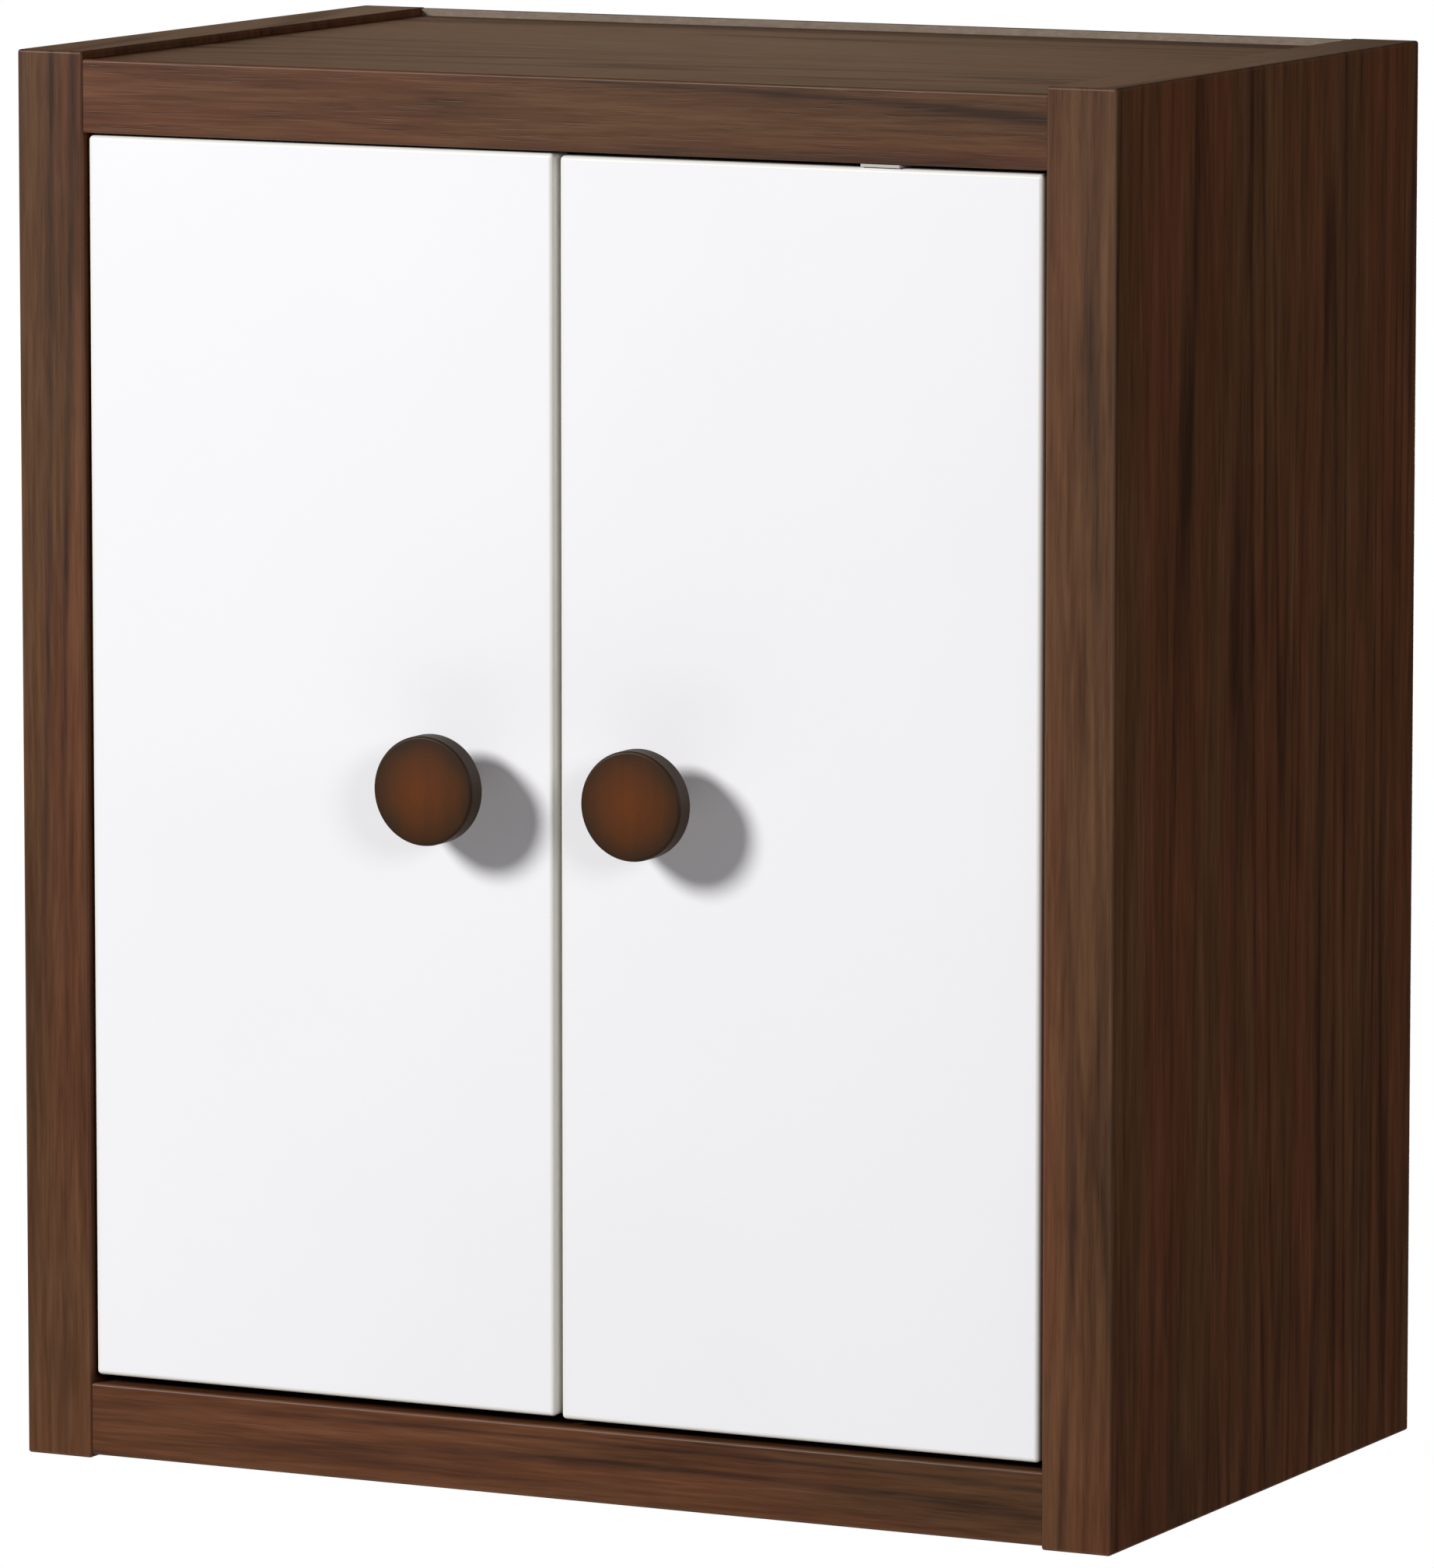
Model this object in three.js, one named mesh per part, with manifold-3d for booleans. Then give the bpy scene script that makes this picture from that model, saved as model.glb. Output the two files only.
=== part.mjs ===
// A hanging wall cabinet with two inset doors, millimetres.
// The origin is the middle of the back board's rear face, where the cabinet meets the wall.
// +X is to the right of someone facing the doors, +Y goes into the wall, +Z is up.

import * as THREE from 'three';
import { mergeVertices } from 'three/addons/utils/BufferGeometryUtils.js';
import { RoundedBoxGeometry } from 'three/addons/geometries/RoundedBoxGeometry.js';
import Module from 'manifold-3d';

const wasm = await Module();
wasm.setup();

// ---- Driving dimensions ----

const seat = 0.1;        // hairline between two faces that lie against each other
const clearance = 0.3;   // between a fitting and the bore that holds it

const smallRound = 8;    // flats round a screw, a pin or a small bore
const lockRound = 12;    // round a cam lock and its bore
const cupRound = 20;     // round a hinge cup and its bore
const knobRound = 24;    // round a knob

const carcass = {
  width: 508,
  depth: 310,
  height: 600,
  board: 31,             // thickness of the sides, the top and the bottom
  edgeRadius: 1.5,
  topReveal: 3.3,        // the sides stand this far above the top board,
  bottomReveal: 1.4,     // this far below the bottom board,
  frontReveal: 1,        // and this far in front of both
};

const back = { thickness: 5, topDrop: 0.3, edgeRadius: 0.4 };

const rail = {
  thickness: 18,
  height: 80,
  edgeRadius: 0.8,
  screwSpacing: 300,
  screwDrop: 30,         // from the rail's top edge down to its screw holes
  holeRadius: 3.2,
  sinkRadius: 6.5,
  sinkDepth: 4,
};

const shelf = { thickness: 18, frontInset: 34, rearGap: 2, sideGap: 1, edgeRadius: 0.8 };

const shelfPin = {
  radius: 2.5,
  depth: 9.5,
  collarRadius: 4.5,
  collar: 1.5,
  tongueLength: 8,
  tongueWidth: 9,
  tongueThickness: 2,
  frontColumn: 65,       // from the front edge of the side panel
  rearColumn: 55,        // from its rear edge
  rowPitch: 32,
  rows: [-2, -1, 0, 1, 2],
  usedRowHeight: -12,
};

const camLock = {
  radius: 7.3,
  pastAxis: 5.5,         // how far the lock reaches beyond the bolt's axis
  offset: 34,            // from the side panel's face to the lock's axis
  bowl: 4,
  slotLength: 8,
  slotWidth: 1.3,
  slotDepth: 2,
};

const camBolt = {
  threadRadius: 2.7,
  threadLength: 11.5,
  collarRadius: 3.5,
  collarEnd: 1.8,
  shankRadius: 2.6,
  neckRadius: 1.7,
  neckStart: 28,
  neckEnd: 32.5,
  headRadius: 2.9,
  headEnd: 36,
  frontInset: 50,        // from the front edge of the board
  rearInset: 50,         // from its rear edge
};

const dowel = { radius: 4, inPanel: 14.5, inBoard: 15.5 };

const door = {
  thickness: 16,
  height: 528.5,
  recess: 1.5,           // behind the front edges of the side panels
  sideGap: 2,
  middleGap: 3,
  edgeRadius: 1.8,
  hang: { left: 0.5, right: -0.1 },   // height set on the hinges
};

const knob = {
  radius: 23,
  disc: 10.5,
  projection: 28.5,
  neckRadius: 8,
  footRadius: 10,
  fromMiddle: 48.2,
  screwDepth: 13,
};

const knobScrew = { radius: 2, headRadius: 4.2, headHeight: 2.4, reach: 12 };

const hinge = {
  fromEdge: 18,          // pin to the door's outer edge
  behindFace: 8.2,       // pin to the door's front face
  height: 170,           // above and below the middle of the cabinet
  pinRadius: 1.25,
  pinHalfLength: 13.4,
  pinPlay: 0.1,
  eyeRadius: 2.5,
  cupRadius: 17.2,
  cupHollow: 16.3,
  cupCentre: 22.5,       // from the door's outer edge
  cupDepth: 11.7,
  cupWall: 1,
  flange: 1.2,
  flangeRadius: 19,
  earLength: 60,
  earWidth: 18,
  earOffset: 9.5,
  earHole: 24,
  earHoleRadius: 2,
  lugStart: 10.5,
  lugEnd: 13.5,
  armHalfWidth: 4.5,
  armThickness: 2.4,
};

const hingePlate = {
  start: 29,             // all behind the pin
  end: 65,
  wingStart: 40,
  wingEnd: 54,
  wingThickness: 2,
  wingHalf: 26,
  blockHeight: 6.4,
  blockHalf: 5.1,
  screwHalfSpacing: 16,
  screwRadius: 2.3,
};

const hingeArm = {
  channelStart: 26,
  channelEnd: 68,
  channelHalf: 8,
  channelTop: 9.4,       // above the face of the side panel
  channelSkin: 2.7,
  screwRadius: 2.6,
  frontScrew: 36,
  rearScrew: 56,
};

const magnetCatch = {
  width: 46,
  depth: 14,
  height: 13,
  fromMiddle: 36,
  poleThickness: 1.4,
  poleGap: 4.4,
  poleProud: 0.6,
  poleWidth: 30,
  screwRadius: 1.8,
  screwInset: 4.5,
  edgeRadius: 0.8,
};

const strike = { width: 36, height: 10, thickness: 1.2, drop: 2, holeRadius: 2, cornerRadius: 2 };

const doorStop = {
  fromMiddle: 148,
  width: 17.5,
  flange: 1.2,
  leg: 3,
  legHeight: 16,
  reach: 18,             // behind the leg
  screwRadius: 1.8,
};

// ---- Levels and places worked out from them ----

const innerHalf = carcass.width / 2 - carcass.board;
const middleY = -carcass.depth / 2;
const topBoardTop = carcass.height / 2 - carcass.topReveal;
const topBoardBottom = topBoardTop - carcass.board;
const bottomBoardBottom = -carcass.height / 2 + carcass.bottomReveal;
const boardFront = -carcass.depth + carcass.frontReveal;
const boardRear = -back.thickness - seat;
const boardHalf = innerHalf - seat;
const doorFront = -carcass.depth + door.recess;
const doorRear = doorFront + door.thickness;
const doorOuter = innerHalf - door.sideGap;
const pinX = doorOuter - hinge.fromEdge;
const pinY = doorFront + hinge.behindFace;
const panelFace = -(hinge.fromEdge + door.sideGap);   // side panel's face, seen from the hinge pin
const doorRearFromPin = door.thickness - hinge.behindFace;
const cupCentreFromPin = hinge.cupCentre - hinge.fromEdge;
const shelfBottom = shelfPin.usedRowHeight + shelfPin.radius + seat;

const sides = [
  { name: 'left', sign: -1 },
  { name: 'right', sign: 1 },
];
const hingeLevels = [
  { name: 'upper', z: hinge.height },
  { name: 'lower', z: -hinge.height },
];
const boards = [
  { name: 'top', axisZ: topBoardTop - carcass.board / 2 },
  { name: 'bottom', axisZ: bottomBoardBottom + carcass.board / 2 },
];
const camPlaces = [
  { name: 'front', y: boardFront + camBolt.frontInset },
  { name: 'rear', y: boardRear - camBolt.rearInset },
];
const pinPlaces = [
  { name: 'front', y: -carcass.depth + shelfPin.frontColumn },
  { name: 'rear', y: -shelfPin.rearColumn },
];

// ---- Materials ----

function finish(color, roughness, metalness = 0) {
  return new THREE.MeshStandardMaterial({ color, roughness, metalness });
}

const walnut = () => finish(0x5a3e30, 0.5);
const walnutBacking = () => finish(0x6b5a49, 0.7);
const whiteLaminate = () => finish(0xf2f1f3, 0.4);
const stainedKnob = () => finish(0x5f2f12, 0.45);
const beech = () => finish(0xc9a06c, 0.7);
const nickel = () => finish(0xc4c3be, 0.3, 1);
const zinc = () => finish(0x9a9b9c, 0.45, 1);
const greyPlastic = () => finish(0xb9b4aa, 0.5);
const whitePlastic = () => finish(0xe6e4de, 0.5);

// ---- Solids: joining, cutting and placing ----

function toSolid(geometry) {
  const bare = geometry.clone();
  bare.deleteAttribute('normal');
  bare.deleteAttribute('uv');
  const merged = mergeVertices(bare);
  const vertProperties = new Float32Array(merged.attributes.position.array);
  const triVerts = new Uint32Array(merged.index.array);
  return new wasm.Manifold(new wasm.Mesh({ numProp: 3, vertProperties, triVerts }));
}

function toGeometry(solid) {
  const mesh = solid.getMesh();
  const geometry = new THREE.BufferGeometry();
  geometry.setAttribute('position', new THREE.BufferAttribute(mesh.vertProperties, 3));
  geometry.setIndex(new THREE.BufferAttribute(mesh.triVerts, 1));
  geometry.computeVertexNormals();
  return geometry;
}

function shaped(base, { add = [], cut = [] }) {
  let solid = toSolid(base);
  for (const piece of add) {
    solid = solid.add(toSolid(piece));
  }
  for (const piece of cut) {
    solid = solid.subtract(toSolid(piece));
  }
  return toGeometry(solid);
}

// A box between two corners, with its edges rounded if a radius is given.
function boxBetween(low, high, radius = 0) {
  const size = low.map((value, i) => high[i] - value);
  const geometry = radius > 0
    ? new RoundedBoxGeometry(...size, 1, radius)
    : new THREE.BoxGeometry(...size);
  return geometry.translate(...low.map((value, i) => (value + high[i]) / 2));
}

// A round bar from start to end along one axis; a second radius makes it a cone.
function bar(axis, start, end, centre, radius, segments = smallRound, endRadius = radius) {
  const geometry = new THREE.CylinderGeometry(endRadius, radius, end - start, segments);
  if (axis === 'x') {
    geometry.rotateZ(-Math.PI / 2);
    return geometry.translate((start + end) / 2, centre[0], centre[1]);
  }
  if (axis === 'z') {
    geometry.rotateX(Math.PI / 2);
    return geometry.translate(centre[0], centre[1], (start + end) / 2);
  }
  return geometry.translate(centre[0], (start + end) / 2, centre[1]);
}

// A turned shape from [distance along the axis, radius] pairs; the axis runs along +X.
function turned(outline, segments) {
  const points = outline.map(([along, radius]) => new THREE.Vector2(radius, along));
  const geometry = new THREE.LatheGeometry(points, segments);
  return geometry.rotateZ(-Math.PI / 2);
}

// A flat plate in the XZ plane with round corners, its thickness along Y.
function plateXZ(width, height, radius, thickness, hole = null) {
  const w = width / 2;
  const h = height / 2;
  const shape = new THREE.Shape();
  shape.moveTo(-w + radius, -h);
  shape.lineTo(w - radius, -h);
  shape.absarc(w - radius, -h + radius, radius, -Math.PI / 2, 0);
  shape.lineTo(w, h - radius);
  shape.absarc(w - radius, h - radius, radius, 0, Math.PI / 2);
  shape.lineTo(-w + radius, h);
  shape.absarc(-w + radius, h - radius, radius, Math.PI / 2, Math.PI);
  shape.lineTo(-w, -h + radius);
  shape.absarc(-w + radius, -h + radius, radius, Math.PI, Math.PI * 1.5);
  if (hole) {
    shape.holes.push(new THREE.Path().absarc(0, 0, hole, 0, Math.PI * 2, true));
  }
  const geometry = new THREE.ExtrudeGeometry(shape, {
    depth: thickness,
    bevelEnabled: false,
    curveSegments: 3,
  });
  return geometry.rotateX(Math.PI / 2).translate(0, thickness, 0);
}

// The same shape seen in a mirror that stands on the YZ plane.
function mirroredX(geometry) {
  const flipped = geometry.clone().scale(-1, 1, 1);
  const index = flipped.index.array;
  for (let i = 0; i < index.length; i += 3) {
    [index[i], index[i + 1]] = [index[i + 1], index[i]];
  }
  flipped.computeVertexNormals();
  return flipped;
}

function named(name, geometry, material) {
  const mesh = new THREE.Mesh(geometry, material);
  mesh.name = name;
  return mesh;
}

// ---- Carcass ----

// Everything bored into the inner face of a side panel, cut from the face outwards.
function sidePanelBores(sign) {
  const bores = [];
  const bore = (depth, y, z, radius) => {
    const ends = [sign * (innerHalf - 1), sign * (innerHalf + depth)].sort((a, b) => a - b);
    bores.push(bar('x', ...ends, [y, z], radius));
  };
  for (const board of boards) {
    for (const place of camPlaces) {
      bore(camBolt.threadLength + clearance, place.y, board.axisZ, camBolt.threadRadius + clearance);
    }
    bore(dowel.inPanel + clearance, middleY, board.axisZ, dowel.radius + clearance);
  }
  for (const place of pinPlaces) {
    for (const row of shelfPin.rows) {
      const z = shelfPin.usedRowHeight + row * shelfPin.rowPitch;
      bore(shelfPin.depth + clearance, place.y, z, shelfPin.radius + clearance);
    }
  }
  return bores;
}

function sidePanel({ name, sign }) {
  const inner = sign * innerHalf;
  const outer = sign * carcass.width / 2;
  const half = carcass.height / 2;
  const panel = boxBetween(
    [Math.min(inner, outer), -carcass.depth, -half],
    [Math.max(inner, outer), 0, half],
    carcass.edgeRadius,
  );
  const geometry = shaped(panel, { cut: sidePanelBores(sign) });
  return named(`side_panel_${name}`, geometry, walnut());
}

// The top and bottom boards carry their locks in their undersides.
function carcassBoard(board) {
  const underside = board.axisZ - carcass.board / 2;
  const slab = boxBetween(
    [-boardHalf, boardFront, underside],
    [boardHalf, boardRear, underside + carcass.board],
    carcass.edgeRadius,
  );
  const cut = [];
  for (const { sign } of sides) {
    const bore = (depth, y, radius) => {
      const ends = [sign * (boardHalf + 1), sign * (boardHalf - depth)].sort((a, b) => a - b);
      cut.push(bar('x', ...ends, [y, board.axisZ], radius));
    };
    for (const place of camPlaces) {
      const lockX = sign * (innerHalf - camLock.offset);
      const lockTop = board.axisZ + camLock.pastAxis + clearance;
      bore(camLock.offset, place.y, camLock.bowl);
      const radius = camLock.radius + clearance;
      cut.push(bar('z', underside - 1, lockTop, [lockX, place.y], radius, lockRound));
    }
    bore(dowel.inBoard + clearance, middleY, dowel.radius + clearance);
  }
  return named(`${board.name}_board`, shaped(slab, { cut }), walnut());
}

// The wall screws pass through the hanging rail and the back board.
function wallScrewHoles(start, end, radius, endRadius = radius) {
  const z = topBoardBottom - rail.screwDrop;
  return sides.map(({ sign }) => {
    return bar('y', start, end, [sign * rail.screwSpacing / 2, z], radius, smallRound, endRadius);
  });
}

function backBoard() {
  const slab = boxBetween(
    [-boardHalf, -back.thickness, bottomBoardBottom],
    [boardHalf, 0, carcass.height / 2 - back.topDrop],
    back.edgeRadius,
  );
  const geometry = shaped(slab, { cut: wallScrewHoles(-back.thickness - 1, 1, rail.holeRadius) });
  return named('back_board', geometry, walnutBacking());
}

function hangingRail() {
  const front = boardRear - rail.thickness;
  const top = topBoardBottom - seat;
  const slab = boxBetween(
    [-boardHalf, front, top - rail.height],
    [boardHalf, boardRear, top],
    rail.edgeRadius,
  );
  const cut = [
    ...wallScrewHoles(front - 1, boardRear + 1, rail.holeRadius),
    ...wallScrewHoles(front - 0.01, front + rail.sinkDepth, rail.sinkRadius, rail.holeRadius),
  ];
  return named('hanging_rail', shaped(slab, { cut }), walnut());
}

function shelfBoard() {
  const half = innerHalf - shelf.sideGap;
  const slab = boxBetween(
    [-half, -carcass.depth + shelf.frontInset, shelfBottom],
    [half, -back.thickness - shelf.rearGap, shelfBottom + shelf.thickness],
    shelf.edgeRadius,
  );
  return named('shelf', slab, walnut());
}

// A peg in the side panel, a collar against its face and a flat tongue under the shelf.
function shelfPins() {
  const face = innerHalf - seat;
  const z = shelfPin.usedRowHeight;
  return sides.flatMap(({ name, sign }) => pinPlaces.map((place) => {
    const peg = bar('x', face, innerHalf + shelfPin.depth, [place.y, z], shelfPin.radius);
    const collar = bar('x', face - shelfPin.collar, face, [place.y, z - 2], shelfPin.collarRadius);
    const tongue = boxBetween(
      [face - shelfPin.tongueLength, place.y - shelfPin.tongueWidth / 2, z + 0.5],
      [face - 0.2, place.y + shelfPin.tongueWidth / 2, z + 0.5 + shelfPin.tongueThickness],
    );
    const pin = shaped(collar, { add: [peg, tongue] });
    const geometry = sign > 0 ? pin : mirroredX(pin);
    return named(`shelf_pin_${name}_${place.name}`, geometry, nickel());
  }));
}

// ---- Knock-down fittings ----

function camBoltMesh(board, place, side) {
  const outline = [
    [-camBolt.threadLength, 0],
    [-camBolt.threadLength, camBolt.threadRadius - 1],
    [-camBolt.threadLength + 1, camBolt.threadRadius],
    [seat, camBolt.threadRadius],
    [seat, camBolt.collarRadius],
    [camBolt.collarEnd, camBolt.collarRadius],
    [camBolt.collarEnd, camBolt.shankRadius],
    [camBolt.neckStart, camBolt.shankRadius],
    [camBolt.neckStart, camBolt.neckRadius],
    [camBolt.neckEnd, camBolt.neckRadius],
    [camBolt.neckEnd, camBolt.headRadius],
    [camBolt.headEnd, camBolt.headRadius],
    [camBolt.headEnd, 0],
  ];
  const name = `cam_bolt_${board.name}_${side.name}_${place.name}`;
  const mesh = named(name, turned(outline, smallRound), zinc());
  mesh.position.set(side.sign * innerHalf, place.y, board.axisZ);
  mesh.rotation.z = side.sign > 0 ? Math.PI : 0;
  return mesh;
}

function camLockMesh(board, place, side) {
  const bottom = -carcass.board / 2 + seat;
  const body = bar('z', bottom, camLock.pastAxis, [0, 0], camLock.radius, lockRound);
  const bowl = bar('x', -camLock.radius - 1, camLock.bowl, [0, 0], camLock.bowl);
  const half = camLock.slotLength / 2;
  const width = camLock.slotWidth / 2;
  const floor = bottom + camLock.slotDepth;
  const cut = [
    bowl,
    boxBetween([-half, -width, bottom - 1], [half, width, floor]),
    boxBetween([-width, -half, bottom - 1], [width, half, floor]),
  ];
  const mesh = named(
    `cam_lock_${board.name}_${side.name}_${place.name}`,
    shaped(body, { cut }),
    zinc(),
  );
  mesh.position.set(side.sign * (innerHalf - camLock.offset), place.y, board.axisZ);
  mesh.rotation.z = side.sign > 0 ? Math.PI : 0;
  return mesh;
}

function boardDowel(board, side) {
  const ends = [side.sign * (innerHalf - dowel.inBoard), side.sign * (innerHalf + dowel.inPanel)];
  ends.sort((a, b) => a - b);
  const geometry = bar('x', ...ends, [middleY, board.axisZ], dowel.radius);
  return named(`dowel_${board.name}_${side.name}`, geometry, beech());
}

function knockDownFittings() {
  const group = new THREE.Group();
  for (const board of boards) {
    for (const side of sides) {
      for (const place of camPlaces) {
        group.add(camBoltMesh(board, place, side));
        group.add(camLockMesh(board, place, side));
      }
      group.add(boardDowel(board, side));
    }
  }
  return group;
}

// ---- Hinges, drawn for the left door with the pin at the origin ----

// A strip of even thickness along a smooth curve in the XY plane.
function stripOutline(points, thickness, steps) {
  const curve = new THREE.CatmullRomCurve3(points.map(([x, y]) => new THREE.Vector3(x, y, 0)));
  const near = [];
  const far = [];
  for (let i = 0; i <= steps; i += 1) {
    const point = curve.getPointAt(i / steps);
    const tangent = curve.getTangentAt(i / steps);
    const offset = new THREE.Vector2(-tangent.y, tangent.x).multiplyScalar(thickness / 2);
    near.push(new THREE.Vector2(point.x - offset.x, point.y - offset.y));
    far.unshift(new THREE.Vector2(point.x + offset.x, point.y + offset.y));
  }
  return new THREE.Shape([...near, ...far]);
}

function hingeCup() {
  const inner = doorRearFromPin + seat;
  const outer = inner + hinge.flange;
  const bottom = doorRearFromPin - hinge.cupDepth;
  const centre = [cupCentreFromPin, 0];
  const cup = bar('y', bottom, outer, centre, hinge.cupRadius, cupRound);
  const flange = bar('y', inner, outer, centre, hinge.flangeRadius, cupRound);
  const ears = plateXZ(hinge.earWidth, hinge.earLength, hinge.earWidth / 2 - 1, hinge.flange);
  const earX = cupCentreFromPin + hinge.earOffset;
  const hollow = bar('y', bottom + hinge.cupWall, outer + 1, centre, hinge.cupHollow, cupRound);
  const holes = [-1, 1].map((end) => {
    return bar('y', inner - 1, outer + 1, [earX, end * hinge.earHole], hinge.earHoleRadius);
  });
  const dish = shaped(cup, {
    add: [flange, ears.translate(earX, inner, 0)],
    cut: [hollow, ...holes],
  });
  const lugs = [-1, 1].map((end) => {
    const reach = [end * hinge.lugStart, end * hinge.lugEnd].sort((a, b) => a - b);
    return boxBetween(
      [-hinge.eyeRadius, bottom + hinge.cupWall / 2, reach[0]],
      [hinge.eyeRadius, hinge.eyeRadius, reach[1]],
    );
  });
  const pinHole = bar(
    'z', -hinge.lugEnd - 0.5, hinge.lugEnd + 0.5, [0, 0], hinge.pinRadius + hinge.pinPlay, lockRound,
  );
  return shaped(dish, { add: lugs, cut: [pinHole] });
}

function hingePin() {
  return bar('z', -hinge.pinHalfLength, hinge.pinHalfLength, [0, 0], hinge.pinRadius, lockRound);
}

// From its eye in the cup the arm swings round the door's edge, then runs back over the plate.
function hingeArmShape() {
  const topFace = panelFace + hingeArm.channelTop;
  const neckX = topFace - hingeArm.channelSkin / 2;
  const path = [
    [0, 0], [7, 3.9], [14, 7.8], [18.2, 10.8], [20.5, 15], [19.3, 19.8],
    [14.2, 23.2], [6, 25], [-4, 25.4], [neckX, 27.5], [neckX, 33],
  ];
  const strip = new THREE.ExtrudeGeometry(stripOutline(path, hinge.armThickness, 16), {
    depth: 2 * hinge.armHalfWidth,
    bevelEnabled: false,
  }).translate(0, 0, -hinge.armHalfWidth);
  const eye = bar('z', -hinge.armHalfWidth, hinge.armHalfWidth, [0, 0], hinge.eyeRadius, lockRound);
  const underSkin = topFace - hingeArm.channelSkin;
  const flangeFoot = panelFace + seat + hingePlate.wingThickness + clearance;
  const channel = boxBetween(
    [flangeFoot, hingeArm.channelStart, -hingeArm.channelHalf],
    [topFace, hingeArm.channelEnd, hingeArm.channelHalf],
  );
  const inside = boxBetween(
    [flangeFoot - 1, hingeArm.channelStart - 1, -hingePlate.blockHalf - clearance],
    [underSkin, hingeArm.channelEnd + 1, hingePlate.blockHalf + clearance],
  );
  const pinHole = bar(
    'z', -hinge.armHalfWidth - 1, hinge.armHalfWidth + 1, [0, 0],
    hinge.pinRadius + hinge.pinPlay, lockRound,
  );
  const screwHoles = [hingeArm.frontScrew, hingeArm.rearScrew].map((y) => {
    return bar('x', underSkin - 1, topFace + 1, [y, 0], hingeArm.screwRadius);
  });
  const saddle = shaped(channel, { cut: [inside, ...screwHoles] });
  return shaped(saddle, { add: [strip, eye], cut: [pinHole] });
}

function hingePlateShape() {
  const foot = panelFace + seat;
  const wings = boxBetween(
    [foot, hingePlate.wingStart, -hingePlate.wingHalf],
    [foot + hingePlate.wingThickness, hingePlate.wingEnd, hingePlate.wingHalf],
  );
  const block = boxBetween(
    [foot, hingePlate.start, -hingePlate.blockHalf],
    [foot + hingePlate.blockHeight - seat, hingePlate.end, hingePlate.blockHalf],
  );
  const holeY = (hingePlate.wingStart + hingePlate.wingEnd) / 2;
  const holes = [-1, 1].map((end) => bar(
    'x', foot - 1, foot + hingePlate.wingThickness + 1,
    [holeY, end * hingePlate.screwHalfSpacing], hingePlate.screwRadius,
  ));
  return shaped(wings, { add: [block], cut: holes });
}

const hingePieces = [
  { name: 'hinge_cup', geometry: hingeCup(), material: nickel },
  { name: 'hinge_pin', geometry: hingePin(), material: zinc },
  { name: 'hinge_arm', geometry: hingeArmShape(), material: nickel },
  { name: 'hinge_plate', geometry: hingePlateShape(), material: nickel },
];

function hinges() {
  const group = new THREE.Group();
  for (const side of sides) {
    for (const level of hingeLevels) {
      for (const piece of hingePieces) {
        const geometry = side.sign < 0 ? piece.geometry : mirroredX(piece.geometry);
        const mesh = named(`${piece.name}_${side.name}_${level.name}`, geometry, piece.material());
        mesh.position.set(side.sign * pinX, pinY, level.z + door.hang[side.name]);
        group.add(mesh);
      }
    }
  }
  return group;
}

// ---- Doors, knobs and what keeps the doors shut ----

function doorPanel({ name, sign }) {
  const hang = door.hang[name];
  const edges = [sign * door.middleGap / 2, sign * doorOuter].sort((a, b) => a - b);
  const slab = boxBetween(
    [edges[0], doorFront, hang - door.height / 2],
    [edges[1], doorRear, hang + door.height / 2],
    door.edgeRadius,
  );
  const cupX = sign * (doorOuter - hinge.cupCentre);
  const cupFloor = doorRear - hinge.cupDepth - clearance;
  const cut = hingeLevels.map((level) => {
    const centre = [cupX, level.z + hang];
    return bar('y', cupFloor, doorRear + 1, centre, hinge.cupRadius + clearance, cupRound);
  });
  const knobCentre = [sign * knob.fromMiddle, hang];
  cut.push(bar('y', doorFront - 1, doorRear + 1, knobCentre, knobScrew.radius + clearance));
  return named(`door_${name}`, shaped(slab, { cut }), whiteLaminate());
}

// A flat disc with a rounded rim on a waisted neck, turned about its screw.
function knobMesh({ name, sign }) {
  const discBack = knob.projection - knob.disc;
  const rim = 3;
  const arc = (along, radius, from, to) => [0, 1, 2].map((i) => {
    const angle = THREE.MathUtils.degToRad(from + (to - from) * i / 2);
    return [along + rim * Math.cos(angle), radius + rim * Math.sin(angle)];
  });
  const outline = [
    [knob.screwDepth, 0],
    [knob.screwDepth, knobScrew.radius + clearance],
    [seat, knobScrew.radius + clearance],
    [seat, knob.footRadius],
    [2.5, knob.footRadius],
    [9, knob.neckRadius],
    [14, knob.neckRadius + 2],
    [discBack, knob.neckRadius + 6],
    ...arc(discBack + rim, knob.radius - rim, 180, 90),
    ...arc(knob.projection - rim, knob.radius - rim, 90, 0),
    [knob.projection, 0],
  ];
  const mesh = named(`knob_${name}`, turned(outline, knobRound), stainedKnob());
  mesh.position.set(sign * knob.fromMiddle, doorFront, door.hang[name]);
  mesh.rotation.z = -Math.PI / 2;
  return mesh;
}

function knobScrewMesh({ name, sign }) {
  const outline = [
    [-knobScrew.reach, 0],
    [-knobScrew.reach, knobScrew.radius],
    [door.thickness + seat, knobScrew.radius],
    [door.thickness + seat, knobScrew.headRadius],
    [door.thickness + knobScrew.headHeight * 0.6, knobScrew.headRadius],
    [door.thickness + knobScrew.headHeight, knobScrew.headRadius * 0.6],
    [door.thickness + knobScrew.headHeight, 0],
  ];
  const mesh = named(`knob_screw_${name}`, turned(outline, smallRound), zinc());
  mesh.position.set(sign * knob.fromMiddle, doorFront, door.hang[name]);
  mesh.rotation.z = Math.PI / 2;
  return mesh;
}

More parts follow.
